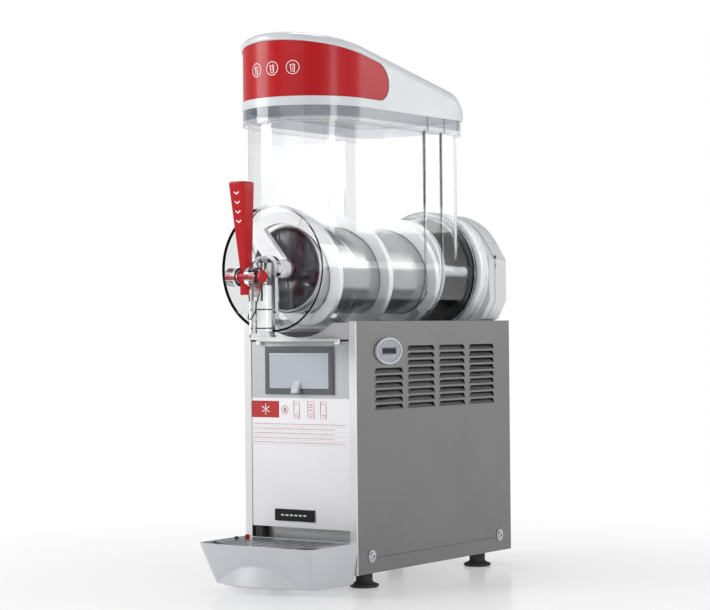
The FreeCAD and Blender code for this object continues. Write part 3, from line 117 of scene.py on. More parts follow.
class Graph:
    """A material's node graph. Patterns are placed by the object's own coordinates, in metres."""

    def __init__(self, name, colour, roughness, metallic=0.0, **sockets):
        self.material = bpy.data.materials.new(name)
        self.material.use_nodes = True
        self.tree = self.material.node_tree
        self.shader = self.tree.nodes["Principled BSDF"]
        self.coords = self.tree.nodes.new("ShaderNodeTexCoord").outputs["Object"]
        self.colour = colour
        sockets.update(Base_Color=(*colour, 1), Roughness=roughness, Metallic=metallic)
        for socket, setting in sockets.items():
            self.shader.inputs[socket.replace("_", " ")].default_value = setting

    def node(self, kind, inputs=None, **settings):
        return add_node(self.tree, kind, inputs, **settings)

    def place(self):
        """Outputs X, Y and Z of the point that is shaded."""
        return self.node("SeparateXYZ", {"Vector": self.coords}).outputs

    def maths(self, operation, first, second=0.5):
        return self.node("Math", {0: first, 1: second}, operation=operation).outputs["Value"]

    def gap(self, value, middle):
        """How far value is from middle, on either side."""
        return self.maths("ABSOLUTE", self.maths("SUBTRACT", value, middle))

    def output(self):
        return next(node for node in self.tree.nodes if node.type == "OUTPUT_MATERIAL")

    def noise(self, scale, stretch=(1, 1, 1), detail=3.0):
        """Noise from 0 to 1; stretch squeezes it along each axis, so small numbers draw it out."""
        squeezed = self.node("Mapping", {"Vector": self.coords, "Scale": stretch})
        made = self.node("TexNoise", {"Vector": squeezed.outputs["Vector"], "Scale": scale,
                                      "Detail": detail})
        return made.outputs["Fac"]

    def span(self, value, low, high, start=0.3, end=0.7):
        """value, which runs from start to end, stretched to run from low to high."""
        made = self.node("MapRange", {"Value": value, "From Min": start, "From Max": end, "To Min": low,
                                      "To Max": high})
        return made.outputs["Result"]

    def roughen(self, value, low, high):
        self.tree.links.new(self.span(value, low, high), self.shader.inputs["Roughness"])

    def tint(self, amount, other):
        """The base colour drifts towards another by an amount from 0 to 1."""
        made = self.node("Mix", {"Factor": amount}, data_type="RGBA")
        first, second = [socket for socket in made.inputs if socket.type == "RGBA"]
        base = self.shader.inputs["Base Color"]
        if base.is_linked:
            self.tree.links.new(base.links[0].from_socket, first)
        else:
            first.default_value = (*self.colour, 1)
        second.default_value = (*other, 1)
        result = next(socket for socket in made.outputs if socket.type == "RGBA")
        self.tree.links.new(result, base)

    def bump(self, value, depth, strength=1.0):
        """Relief from value, depth metres deep."""
        made = self.node("Bump", {"Height": value, "Distance": depth, "Strength": strength})
        normal = self.shader.inputs["Normal"]
        if normal.is_linked:
            self.tree.links.new(normal.links[0].from_socket, made.inputs["Normal"])
        self.tree.links.new(made.outputs["Normal"], normal)


def scaled(colour, factor):
    """A colour with every channel multiplied."""
    return tuple(channel * factor for channel in colour)


def brushed(name, colour, along, roughness=0.3, streak=0.5, painted_front_highlight=None):
    """Brushed sheet or turned tube: fine scratches drawn out along one axis, with faint handling marks."""
    graph = Graph(name, colour, roughness, metallic=1.0)
    stretch = tuple(0.02 if axis == along else 1.0 for axis in "xyz")
    scratches = graph.noise(1500, stretch, detail=3)
    marks = graph.noise(9, detail=4)
    graph.tint(graph.span(scratches, 0.0, streak), scaled(colour, 0.8))
    graph.tint(graph.span(marks, 0.0, streak * 0.6), scaled(colour, 0.88))
    if painted_front_highlight is not None:
        # painted highlight: the folded front flanges are the same sheet, drawn brighter as front-facing steel
        # looks under the key lamp
        edge = graph.span(graph.place()["Y"], 1.0, 0.0, FRONT + 1.3 * MM, FRONT + 2.2 * MM)
        graph.tint(edge, painted_front_highlight)
    graph.roughen(marks, roughness - 0.04, roughness + 0.08)
    graph.bump(scratches, 0.00005, 0.25)
    return graph.material


def plastic(name, colour, roughness, coat=0.0, level=0.5, seam=False):
    """Moulded plastic: fine grain, slow drift in gloss, and dust that greys it a little.

    With seam, a dark line shows where the rear cover meets the gear housing.
    """
    graph = Graph(name, colour, roughness, Coat_Weight=coat, Coat_Roughness=0.08, Specular_IOR_Level=level)
    if seam:
        gap = graph.gap(graph.place()["Y"], FRONT + SEAM_Y * MM)
        graph.tint(graph.span(gap, 1.0, 0.0, 0.8 * MM, 1.1 * MM), (0.03, 0.03, 0.035))
    fine = graph.noise(1800)
    slow = graph.noise(14, detail=5)
    graph.tint(graph.span(slow, 0.0, 0.6), scaled(colour, 0.93))
    graph.roughen(slow, roughness - 0.04, roughness + 0.07)
    graph.bump(fine, 0.00003, 0.3)
    return graph.material


def painted(name, colour):
    """Sprayed paint with orange peel."""
    roughness = 0.45
    graph = Graph(name, colour, roughness, Coat_Weight=0.2, Coat_Roughness=0.2)
    peel = graph.noise(520)
    slow = graph.noise(11, detail=5)
    graph.tint(graph.span(slow, 0.0, 0.7), scaled(colour, 0.85))
    graph.roughen(slow, roughness - 0.06, roughness + 0.08)
    graph.bump(peel, 0.00008, 0.35)
    return graph.material


def rubber(name, colour):
    """Matt rubber or silicone with a fine grain."""
    graph = Graph(name, colour, 0.65)
    fine = graph.noise(1300)
    slow = graph.noise(25, detail=5)
    graph.tint(graph.span(slow, 0.0, 0.7), tuple(channel + 0.03 for channel in colour))
    graph.roughen(slow, 0.55, 0.8)
    graph.bump(fine, 0.0001, 0.4)
    return graph.material


def clear(name, colour, roughness=0.0, ior=1.38, density=24.0, painted_edge_shade=False):
    """Clear moulded polycarbonate: it darkens through its thickness, with a faint ripple and finger marks.

    With painted edge shade, the thick rim under the lid and the two upright ribs at the back are painted
    darker, the ribs most towards +x, in place of the dark look of thick clear edges.
    """
    graph = Graph(name, colour, roughness, Transmission_Weight=1.0, IOR=ior)
    if painted_edge_shade:
        place = graph.place()
        # painted shade on the rim and on the ribs, standing in for the dark look of thick clear edges
        rim = graph.span(place["Z"], 0.0, 1.0, DECK + RIM_LOW * MM, DECK + (RIM_LOW + 2) * MM)
        graph.tint(rim, (0.50, 0.52, 0.565))
        for rib in RIBS_Y:
            near = graph.span(graph.gap(place["Y"], FRONT + rib * MM), 1.0, 0.0, 1.7 * MM, 2.1 * MM)
            upper = graph.span(place["Z"], 0.0, 1.0, DECK + 150 * MM, DECK + 175 * MM)
            tall = graph.maths("MULTIPLY", near, upper)
            side = graph.span(place["X"], 0.2, 1.0, -0.05, 0.05)
            graph.tint(graph.maths("MULTIPLY", tall, side), (0.16, 0.16, 0.18))
    ripple = graph.noise(16, detail=2)
    marks = graph.noise(30, detail=6)
    graph.roughen(marks, roughness, roughness + 0.03)
    graph.bump(ripple, 0.0003, 0.2)
    depth = graph.node("VolumeAbsorption", {"Color": (0.27, 0.30, 0.32, 1), "Density": density})
    graph.tree.links.new(depth.outputs["Volume"], graph.output().inputs["Volume"])
    return graph.material


# ---------------- materials

MATERIALS = {
    "cabinet_steel": brushed("side_steel", (0.212, 0.212, 0.215), "y", 0.36, 0.35,
                             painted_front_highlight=(0.74, 0.74, 0.75)),
    "brushed_steel": brushed("bright_steel", (0.70, 0.70, 0.70), "x", 0.3),
    "zinc_steel": brushed("zinc", (0.55, 0.56, 0.58), "z", 0.35),
    "copper_pipe": brushed("copper", (0.55, 0.27, 0.16), "y", 0.4),
    "fin_aluminium": brushed("aluminium", (0.66, 0.67, 0.68), "z", 0.4),
    "black_paint": painted("black_enamel", (0.02, 0.02, 0.022)),
    "panel_grey": brushed("panel_sheet", (0.47, 0.48, 0.50), "x", 0.45, 0.25),
    "bezel_plastic": plastic("frame_grey", (0.085, 0.088, 0.095), 0.42),
    "door_plastic": plastic("flap_grey", (0.42, 0.455, 0.50), 0.3, coat=0.3),
    "black_plastic": plastic("black_moulding", (0.014, 0.014, 0.016), 0.4),
    "black_rubber": rubber("foot_rubber", (0.012, 0.012, 0.013)),
    "white_plastic": plastic("white_moulding", (0.95, 0.95, 0.955), 0.35, coat=0.1),
    "light_grey_plastic": plastic("grey_moulding", (0.54, 0.56, 0.59), 0.36),
    "lid_plastic": plastic("lid_moulding", (0.62, 0.645, 0.665), 0.32, coat=0.2),
    "red_plastic": plastic("red_gloss", (0.44, 0.0025, 0.007), 0.32, coat=0.1, level=0.2),
    "clear_plastic": clear("clear_bowl", (0.985, 0.988, 0.99), painted_edge_shade=True),
    "frosted_plastic": clear("frosted_cap", (0.80, 0.84, 0.88), 0.35),
    "seal_rubber": rubber("white_silicone", (0.80, 0.81, 0.82)),
    "display_glass": plastic("display_dark", (0.012, 0.016, 0.024), 0.35, level=0.15),
    "label_film": brushed("label_sheet", (0.74, 0.74, 0.76), "x", 0.45, 0.2),
    "lamp_board": plastic("lamp_board_white", (0.75, 0.76, 0.74), 0.5),
    "spring_steel": brushed("wire_steel", (0.5, 0.5, 0.51), "z", 0.2),
}


def drum_finish():
    """Brushed drum whose front disc and the collar behind the blade are black plastic."""
    graph = Graph("drum_steel", (0.54, 0.54, 0.55), 0.22, metallic=1.0)
    scratches = graph.noise(900, (0.02, 1.0, 0.02))
    marks = graph.noise(9, detail=4)
    graph.tint(graph.span(scratches, 0.0, 0.6), (0.38, 0.38, 0.39))
    place = graph.place()["Y"]
    nose = graph.span(place, 1.0, 0.0, FRONT + DISC_Y * MM, FRONT + (DISC_Y + 0.6) * MM)
    collar = graph.span(place, 0.0, 1.0, FRONT + COLLAR_Y * MM, FRONT + (COLLAR_Y + 0.6) * MM)
    graph.tint(nose, (0.03, 0.028, 0.04))
    graph.tint(collar, (0.02, 0.02, 0.022))
    graph.roughen(marks, 0.2, 0.32)
    graph.bump(scratches, 0.00005, 0.25)
    return graph.material


BEZEL_RIM = plastic("bezel_rim", (0.50, 0.55, 0.62), 0.2, coat=0.4)
COVER_GREY = plastic("cover_grey", (0.62, 0.645, 0.665), 0.35, coat=0.1, seam=True)
INK_RED = plastic("ink_red", (0.44, 0.012, 0.012), 0.4)
INK_WHITE = plastic("ink_white", (0.88, 0.88, 0.88), 0.4)
BASIN_STEEL = brushed("basin_steel", (0.60, 0.60, 0.61), "x", 0.5, 0.25)

# nodes that look different from the rest of their material slot
SPECIAL = {
    "evaporator_drum": drum_finish(),
    "mixer_nut": MATERIALS["white_plastic"],
    "top_tray": BASIN_STEEL,
    "display_bezel": plastic("bezel_pale", (0.33, 0.345, 0.375), 0.3, level=0.4),
    "drip_grille": plastic("grille_grey", (0.13, 0.14, 0.155), 0.3),
    "badge": plastic("badge_black", (0.004, 0.005, 0.005), 0.2, level=0.25),
    "gear_housing": COVER_GREY,
    "rear_cover": COVER_GREY,
    "instruction_label": MATERIALS["label_film"],
    "front_panel_lower": MATERIALS["label_film"],
}
slot_of = {part["node"]: part["material_slot"] for part in frame["record"]["subparts"]}
for name, item in nodes.items():
    item.data.materials.clear()
    item.data.materials.append(SPECIAL.get(name) or MATERIALS[slot_of[name]])


# ---------------- piece helpers

def add_object(name, data):
    item = bpy.data.objects.new(name, data)
    bpy.context.scene.collection.objects.link(item)
    return item


def smooth(mesh, sharp):
    """Smooth shading, but for edges sharper than an angle in degrees."""
    mesh.polygons.foreach_set("use_smooth", [True] * len(mesh.polygons))
    mesh.set_sharp_from_angle(angle=math.radians(sharp))


def new_mesh(name, points, faces, sharp):
    mesh = bpy.data.meshes.new(name)
    mesh.from_pydata([from_front(*point) for point in points], [], faces)
    smooth(mesh, sharp)
    return mesh


def piece(name, points, faces, body, slot, material=None, sharp=40):
    """A mesh piece, points in mm from front face and top edge; no material means its slot's own."""
    mesh = new_mesh(name, points, faces, sharp)
    mesh.materials.append(material or MATERIALS[slot])
    item = add_object(name, mesh)
    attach(item, body)
    return item


def flat(rings):
    return [point for ring in rings for point in ring]


def skin(name, rings, body, slot, material=None, sharp=40, closed=False):
    """A solid through rings of equal size, with capped ends, or with the last joined to the first."""
    faces = rings_to_faces(len(rings), len(rings[0]), not closed, not closed, closed)
    return piece(name, flat(rings), faces, body, slot, material, sharp)


def rings_to_faces(count, size, cap_first=False, cap_last=False, closed=False):
    """Quads between rings of equal size; closed joins the last ring to the first."""
    faces = []
    for ring in range(count if closed else count - 1):
        low, high = ring * size, (ring + 1) % count * size
        for i in range(size):
            j = (i + 1) % size
            faces.append((low + i, low + j, high + j, high + i))
    if cap_first:
        faces.append(tuple(reversed(range(size))))
    if cap_last:
        faces.append(tuple(range((count - 1) * size, count * size)))
    return faces


def steps(low, high, count):
    """count + 1 even steps from low to high."""
    return [low + (high - low) * i / count for i in range(count + 1)]


def circle(u, v, radius, count=32):
    """Points round a circle, from its side furthest along u."""
    return [(u + radius * math.cos(a), v + radius * math.sin(a)) for a in steps(0, 2 * math.pi, count)[:-1]]


def soft_min(a, b, soft):
    """The lower of two values, blended where they are within about soft of each other."""
    return -soft * math.log(math.exp(-a / soft) + math.exp(-b / soft))


def block(name, x_pair, y_pair, z_pair, body, slot, edge):
    """A box with softened edges."""
    (left, right), (near, far) = x_pair, y_pair
    item = skin(name, [[(left, near, z), (right, near, z), (right, far, z), (left, far, z)] for z in z_pair],
                body, slot)
    soften(item, edge)
    return item


def collar(name, inner, outer, front, back, chamfer, axis_z, count, slot, material=None):
    """A ring round a line along the machine, fixed to the cabinet, with chamfers at its front."""
    profile = [(inner, back), (inner, front + chamfer), (inner + chamfer, front), (outer - chamfer, front),
               (outer, front + chamfer), (outer, back)]
    rings = [[(r * math.cos(a), y, axis_z + r * math.sin(a)) for a in steps(0, 2 * math.pi, count)[:-1]]
             for r, y in profile]
    skin(name, rings, "cabinet", slot, material, sharp=50, closed=True)


def soften(item, width):
    """Rounds an object's edges by a small bevel, so that they catch the light."""
    weld = item.modifiers.new("weld", "WELD")
    weld.merge_threshold = 0.00001
    bevel = item.modifiers.new("edges", "BEVEL")
    bevel.width = width * MM
    bevel.segments = 2
    bevel.limit_method = "ANGLE"
    bevel.angle_limit = math.radians(30)
    bevel.harden_normals = True


# ---------------- lid

PLAN_Y = 30.0        # centre of the lid's round nose
REAR_CORNER = 30.0   # radius of the two rear corners, seen from above
TOP_ROUND = 11.0     # rounding of the lid's top edge
LID_WALL = 3.0
CROWN = 5.0          # rise of the lid's top from its edges to the middle
HOOD = 1.24          # where the hood over the red panel starts, in roundings below the top
HOOD_PROUD = 1.5     # how far the hood stands out
PANEL_INSET = 1.3    # the red panel's face, in from the lid's wall
PANEL_BACK = 2.5     # and the bottom of its recess
ICON_Z = 356.0       # middle of the icons on the panel


def lid_plan(inset):
    """The lid's outline shrunk by inset, with the same points at every inset, from its left side round."""
    half, rear = LID_HALF - inset, LID_REAR - inset
    corner = max(REAR_CORNER - inset, 0.5)
    points = [(half * math.cos(a), PLAN_Y + half * math.sin(a)) for a in steps(math.pi, 2 * math.pi, 72)]
    points += [(half, y) for y in steps(PLAN_Y, rear - corner, 30)[1:-1]]
    points += [(half - corner + corner * math.cos(a), rear - corner + corner * math.sin(a))
               for a in steps(0, math.pi / 2, 12)]
    points += [(x, rear) for x in steps(half - corner, corner - half, 10)[1:-1]]
    points += [(corner - half + corner * math.cos(a), rear - corner + corner * math.sin(a))
               for a in steps(math.pi / 2, math.pi, 12)]
    points += [(-half, y) for y in steps(rear - corner, PLAN_Y, 30)[1:-1]]
    return points


def lid_top(y):
    """Height of the lid's top at its side edges: a long fall to the back, then a short steep one."""
    long_fall = 346.0 + (266.0 - y) * 0.19
    steep_fall = 303.0 + (LID_REAR + 4 - y) * 1.02
    level = 350  # taken off for the blend, which can't hold large numbers
    return soft_min(long_fall - level, steep_fall - level, 2.5) + level


def lid_ring(inset, height):
    """One ring of the lid; height gives z from y."""
    return [(x, y, height(y)) for x, y in lid_plan(inset)]


def lid_rounding(y):
    """Rounding of the top edge, less where the lid is low at the back."""
    return min(TOP_ROUND, 0.75 * (lid_top(y) - LID_BASE))


def lid_shell():
    """The hollow lid with the recess for its red panel, and the panel."""
    rings = [lid_ring(0, lambda y: LID_BASE)]
    rings += [lid_ring(0, lambda y, k=k: LID_BASE + (lid_top(y) - HOOD * lid_rounding(y) - LID_BASE) * k)
              for k in (0.1, 0.35, 0.65, 1.0)]
    rings.append(lid_ring(-HOOD_PROUD, lambda y: lid_top(y) - 1.08 * lid_rounding(y)))
    for a in steps(0, math.pi / 2, 6)[1:]:
        rings.append(lid_ring(TOP_ROUND * (1 - math.cos(a)) - HOOD_PROUD * math.cos(a),
                              lambda y, a=a: lid_top(y) - lid_rounding(y) * (1 - math.sin(a))))
    last_inset = 95
    for inset in (20, 34, 50, 66, 80, 90, last_inset):
        rise = CROWN * math.sin(math.pi / 2 * (inset - TOP_ROUND) / (last_inset - TOP_ROUND))
        rings.append(lid_ring(inset, lambda y, rise=rise: lid_top(y)
                              + rise * min(1, (lid_top(y) - LID_BASE) / 40)))
    size, base = len(rings[0]), len(rings) * len(rings[0])
    faces = rings_to_faces(len(rings), size, cap_last=True)
    rings.append(lid_ring(LID_WALL, lambda y: LID_BASE))
    rings.append(lid_ring(LID_WALL, lambda y: LID_BASE
                          + max((lid_top(y) - lid_rounding(y) - LID_BASE) - LID_WALL, 0.4)))
    rings.append(lid_ring(TOP_ROUND + 3, lambda y: max(lid_top(y) - LID_WALL, LID_BASE + 0.6)))
    for i in range(size):
        j = (i + 1) % size
        faces.append((j, i, base + i, base + j))
        for ring in range(2):
            low, high = base + ring * size, base + (ring + 1) * size
            faces.append((low + j, low + i, high + i, high + j))
    faces.append(tuple(reversed(range(base + 2 * size, base + 3 * size))))
    shell = piece("lid_moulding", flat(rings), faces, "lid", "lid_plastic", sharp=30)
    cutter = graphic_slab("graphic_cutter", grow=0.4, outer=-4.0, inner=PANEL_BACK)
    cut_away(shell, cutter)
    bpy.data.objects.remove(cutter)
    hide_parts("lid_shell")
    panel = graphic_slab("lid_red_panel", grow=0.0, outer=PANEL_INSET, inner=PANEL_BACK)
    panel.data.materials.append(MATERIALS["red_plastic"])
    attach(panel, "lid")
    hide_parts("lid_graphic")


def cut_away(item, cutter):
    """Takes the cutter's shape out of an item's mesh for good."""
    cut = item.modifiers.new("recess", "BOOLEAN")
    cut.operation = "DIFFERENCE"
    cut.solver = "EXACT"
    bpy.context.view_layer.update()
    cut.object = cutter
    graph = bpy.context.evaluated_depsgraph_get()
    made = bpy.data.meshes.new_from_object(item.evaluated_get(graph))
    item.modifiers.clear()
    item.data = made
    smooth(made, 30)


GRAPHIC_LOW = 316.0  # lower edge of the red panel
GRAPHIC_DROP = 14.0  # from the lid's top down to the panel's upper edge
GRAPHIC_END = 93.0   # the panel's round ends, along the lid's sides


def graphic_columns(grow):
    """Columns of the red panel, as right side, nose and left side.

    A column on a side is (x, y, trim), with trim off both its ends; one on the nose is (angle, None, 0).
    """
    end = GRAPHIC_END + grow
    radius = (lid_top(GRAPHIC_END) - GRAPHIC_DROP - GRAPHIC_LOW) / 2 + grow - 0.01
    columns = []
    for a in steps(0.14, math.pi / 2, 10):
        y = end - radius * (1 - math.cos(a))
        columns.append((y, radius * (1 - math.sin(a))))
    last = end - radius
    columns += [(y, 0.0) for y in steps(last, PLAN_Y, 10)[1:-1]]
    right = [(LID_HALF, y, trim) for y, trim in columns]
    nose = [(a, None, 0.0) for a in steps(2 * math.pi, math.pi, 64)]
    left = [(-LID_HALF, y, trim) for y, trim in reversed(columns)]
    return right, nose, left


def graphic_slab(name, grow, outer, inner):
    """A slab that follows the lid's wall between two insets, in the outline of the red panel."""
    rows = 10
    right, nose, left = graphic_columns(grow)

    def place(column, inset, height):
        if column[1] is None:
            x = (LID_HALF - inset) * math.cos(column[0])
            y = PLAN_Y + (LID_HALF - inset) * math.sin(column[0])
            level = PLAN_Y + LID_HALF * math.sin(column[0])
        else:
            x = math.copysign(LID_HALF - inset, column[0])
            y = level = column[1]
        low = GRAPHIC_LOW - grow + column[2]
        high = lid_top(level) - GRAPHIC_DROP + grow - column[2]
        return x, y, low + (high - low) * height

    columns = right + nose + left
    points = [place(column, inset, k) for inset in (outer, inner) for column in columns
              for k in steps(0, 1, rows)]
    size, wide = rows + 1, len(columns)
    faces = []
    for i in range(wide - 1):
        for k in range(rows):
            a, b = i * size + k, (i + 1) * size + k
            faces.append((a, a + 1, b + 1, b))
            a, b = a + wide * size, b + wide * size
            faces.append((b, b + 1, a + 1, a))
    loop = [i * size for i in range(wide)] + [(wide - 1) * size + k for k in range(1, size)]
    loop += [i * size + rows for i in range(wide - 2, -1, -1)] + [k for k in range(rows - 1, 0, -1)]
    shift = wide * size
    for here, there in zip(loop, loop[1:] + loop[:1]):
        faces.append((here, there, there + shift, here + shift))
    mesh = new_mesh(name, points, faces, 40)
    item = add_object(name, mesh)
    tidy = bmesh.new()
    tidy.from_mesh(mesh)
    bmesh.ops.recalc_face_normals(tidy, faces=tidy.faces)
    tidy.to_mesh(mesh)
    tidy.free()
    return item


# ---------------- prints: thin strokes laid on a surface

PRINT_THICK = 0.12


def stroke(points, width, closed=False):
    """A line of even width through 2-D points, as (left points, right points, closed)."""
    count = len(points)
    left, right = [], []
    for i, (u, v) in enumerate(points):
        before = points[i - 1] if i or closed else points[i]
        after = points[(i + 1) % count] if i < count - 1 or closed else points[i]
        way = Vector((after[0] - before[0], after[1] - before[1])).normalized()
        half = width / 2
        if (i or closed) and (i < count - 1 or closed):
            first = Vector((u - before[0], v - before[1])).normalized()
            half /= max(first.dot(way), 0.4)
        left.append((u - way.y * half, v + way.x * half))
        right.append((u + way.y * half, v - way.x * half))
    return left, right, closed


def rectangle(u, v, wide, tall):
    """Corners of a rectangle from its lower left one."""
    return [(u, v), (u + wide, v), (u + wide, v + tall), (u, v + tall)]


def printed(name, strokes, place, material, body, slot, thick=PRINT_THICK):
    """Strokes as thin solids; place(u, v, height) gives a point on or above the surface."""
    points, faces = [], []
    for left, right, closed in strokes:
        base, count = len(points), len(left)
        for side in (left, right):
            for height in (0.0, thick):
                points += [place(u, v, height) for u, v in side]
        left_low, left_high, right_low, right_high = (base + k * count for k in range(4))
        for i in range(count if closed else count - 1):
            j = (i + 1) % count
            faces += [(left_high + i, right_high + i, right_high + j, left_high + j),
                      (left_low + i, left_low + j, right_low + j, right_low + i),
                      (left_low + i, left_high + i, left_high + j, left_low + j),
                      (right_low + i, right_low + j, right_high + j, right_high + i)]
        if not closed:
            for i, flip in ((0, 1), (count - 1, -1)):
                end = (left_low + i, right_low + i, right_high + i, left_high + i)
                faces.append(end[::flip])
    return piece(name, points, faces, body, slot, material, sharp=30)


def cup(u, v, size, straw):
    """Outline of a tumbler, with a straw leaning out to one side."""
    glass = [(u - 0.36 * size, v + 0.5 * size), (u - 0.24 * size, v - 0.6 * size),
             (u + 0.24 * size, v - 0.6 * size), (u + 0.36 * size, v + 0.5 * size)]
    return [stroke(glass, 0.8, closed=True),
            stroke([(u, v - 0.3 * size), (u + straw * 0.16 * size, v + 0.72 * size)], 0.7)]


def lid_icons():
    """Three round icons of tumblers on the red panel."""
    radius = LID_HALF - PANEL_INSET

    def on_nose(turn):
        def place(u, v, height):
            angle = math.radians(turn - 90) + u / radius
            reach = radius + height
            return reach * math.cos(angle), PLAN_Y + reach * math.sin(angle), ICON_Z + v
        return place

    for i, (turn, straw) in enumerate(((-14, -1), (4, 1), (23, 1))):
        marks = [stroke(circle(0, 0, 9.4), 0.9, closed=True)] + cup(0, -0.6, 9.0, straw)
        printed(f"lid_icon_{i}", marks, on_nose(turn), INK_WHITE, "lid", "red_plastic")


def on_panel(depth):
    """Prints lie on a plane facing forwards, depth millimetres behind the cabinet's front face."""
    return lambda u, v, height: (u, depth - height, v)


LABEL_DEPTH = 0.9  # the label's face, behind the cabinet's front face
BLOCK_Z, BLOCK_TALL = -126.0, 24.0
FLAKE_X, FLAKE_ARM = -62.0, 8.0
CUP_X, CUP_Z = -27.0, -126.5
BOX_LOW, BOX_TALL = -138.5, 24.5
SMALL_PRINT_Z, SMALL_PRINT_PITCH, SMALL_PRINT_SIDE = -147.0, 6.6, 85.0


def label_prints():
    """Generic print on the lower panel: a red block, outlined boxes and rows of unreadable small print."""
    surface = on_panel(LABEL_DEPTH)
    strip = [stroke([(-87.4, BLOCK_Z), (-37.5, BLOCK_Z)], BLOCK_TALL)]
    printed("print_block", strip, surface, INK_RED, "cabinet", "label_film")
    arms = []
    for turn in (30, 90, 150):
        u, v = FLAKE_ARM * math.cos(math.radians(turn)), FLAKE_ARM * math.sin(math.radians(turn))
        arms.append(stroke([(FLAKE_X - u, BLOCK_Z - v), (FLAKE_X + u, BLOCK_Z + v)], 1.1))
    printed("print_flake", arms, on_panel(LABEL_DEPTH - PRINT_THICK), INK_WHITE, "cabinet", "label_film")
    marks = [stroke(circle(CUP_X, CUP_Z, 6.2), 0.5, closed=True),
             stroke(circle(CUP_X, CUP_Z, 4.6), 0.4, closed=True)]
    marks += cup(CUP_X, CUP_Z, 4.0, 1)
    for x, wide in ((-10.6, 9.7), (14.3, 11.2), (37.2, 9.7)):
        marks.append(stroke(rectangle(x, BOX_LOW, wide, BOX_TALL), 0.5, closed=True))
        marks.append(stroke([(x + 2.5, -118), (x + wide - 2.5, -118)], 0.7))
    marks.append(stroke(circle(-5.8, -134.5, 2.4), 0.5, closed=True))
    marks.append(stroke([(17.2, -122.6), (19.9, -118.8), (22.6, -122.6)], 0.5, closed=True))
    marks.append(stroke([(17.0, -126.6), (22.8, -126.6)], 0.9))
    marks.append(stroke(circle(19.9, -133.5, 2.6), 0.5, closed=True))
    marks.append(stroke([(40.0, -134.0), (44.2, -134.0)], 1.3))
    printed("print_boxes", marks, surface, INK_RED, "cabinet", "label_film")
    rows = []
    for i in range(5):
        level = SMALL_PRINT_Z - SMALL_PRINT_PITCH * i
        rows.append(stroke([(-SMALL_PRINT_SIDE, level - 3.0), (SMALL_PRINT_SIDE, level - 3.0)], 0.22))
        u = -SMALL_PRINT_SIDE
        while u < (80 if i % 4 == 0 else 60):
            length = random.uniform(0.5, 2.4)
            rows.append(stroke([(u, level), (u + length, level)], random.uniform(0.8, 1.3)))
            u += length + random.uniform(0.35, 0.8)
    pale = plastic("ink_pale_red", (0.50, 0.20, 0.21), 0.45)
    printed("print_rows", rows, surface, pale, "cabinet", "label_film", thick=0.08)


def badge_marks():
    """A plain row of bright bars on the dark badge."""
    surface = on_panel(-0.8)
    marks = [stroke([(u, -277.5), (u + 5.2, -277.5)], 2.2) for u in (-34, -26, -18, -10, -2, 6)]
    printed("badge_marks", marks, surface, MATERIALS["brushed_steel"], "cabinet", "black_plastic")


# ---------------- lever, spring and drum face

PIVOT_Y, PIVOT_Z = -122.0, 62.0  # the lever's hinge
LEVER_LONG = 131.5               # from the hinge to the paddle's top
HUB_HALF, HUB_RADIUS = 7.8, 9.0  # half the hub's length across the machine
TOP_EDGE = 3.0                   # rounding of the paddle's top


def lever_front(rise):
    """How far the paddle's front stands ahead of the pivot at a height above it."""
    return -2.5 - 16.2 * rise / LEVER_LONG


def lever_section(rise, shrink):
    """The grip's section at a height above the pivot: a rounded rectangle, shrunk evenly by shrink."""
    share = rise / LEVER_LONG
    half = 5.8 + 7.6 * share - shrink
    front, back = lever_front(rise) + shrink, 10.0 - 3.0 * share - shrink
    corner = min(2.6, half - 0.2, (back - front) / 2 - 0.2)
    points = []
    for x, y, start in ((half, back, 0), (-half, back, 90), (-half, front, 180), (half, front, 270)):
        middle_x = x - math.copysign(corner, x)
        middle_y = y - corner if y == back else y + corner
        points += [(middle_x + corner * math.cos(math.radians(a)),
                    middle_y + corner * math.sin(math.radians(a))) for a in steps(start, start + 90, 6)]
    return [(x, PIVOT_Y + y, PIVOT_Z + rise) for x, y in points]


def lever_block(name, section, half, edge):
    """A red block of constant section across the machine; section is (y, z) from the hinge, anticlockwise."""
    rings = [[(x, PIVOT_Y + y, PIVOT_Z + z) for y, z in section] for x in (-half, half)]
    soften(skin(name, rings, "lever", "red_plastic", sharp=35), edge)


def lever():
    """The red lever: a paddle with rounded edges, its hub, the toe below and the arm into the plunger."""
    edge_low = LEVER_LONG - TOP_EDGE
    rings = [lever_section(-2, 1.4)] + [lever_section(rise, 0) for rise in steps(0, edge_low, 12)]
    rings += [lever_section(edge_low + TOP_EDGE * math.sin(a), TOP_EDGE * (1 - math.cos(a)))
              for a in steps(0, math.pi / 2, 6)[1:]]
    grip = skin("lever_paddle", rings, "lever", "red_plastic", sharp=50)
    lever_block("lever_hub", circle(0, 0, HUB_RADIUS, 40), HUB_HALF, 0.8)
    lever_block("lever_toe", [(-4.5, -5), (-4.5, -25), (1.5, -25), (9.5, -12), (6, -4)], 5.0, 0.9)
    lean = math.radians(-20)
    along, above = Vector((math.cos(lean), math.sin(lean))), Vector((-math.sin(lean), math.cos(lean)))
    corners = [along * reach + above * side for reach, side in ((4, -2.8), (43, -2.8), (43, 2.8), (4, 2.8))]
    lever_block("lever_arm", corners, 5.8, 0.8)
    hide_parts("tap_lever")


def disc_x(name, inner, outer, low, high, centre, body, slot, sides=48, turn=0.0):
    """A ring round a line across the machine, between two x places; centre is the line's (y, z)."""
    profile = [(inner, low), (outer - 0.4, low), (outer, low + 0.3), (outer, high - 0.3), (outer - 0.4, high),
               (inner, high)]
    around = steps(turn, turn + 2 * math.pi, sides)[:-1]
    rings = [[(x, centre[0] + r * math.cos(a), centre[1] + r * math.sin(a)) for a in around]
             for r, x in profile]
    return skin(name, rings, body, slot, sharp=35, closed=True)


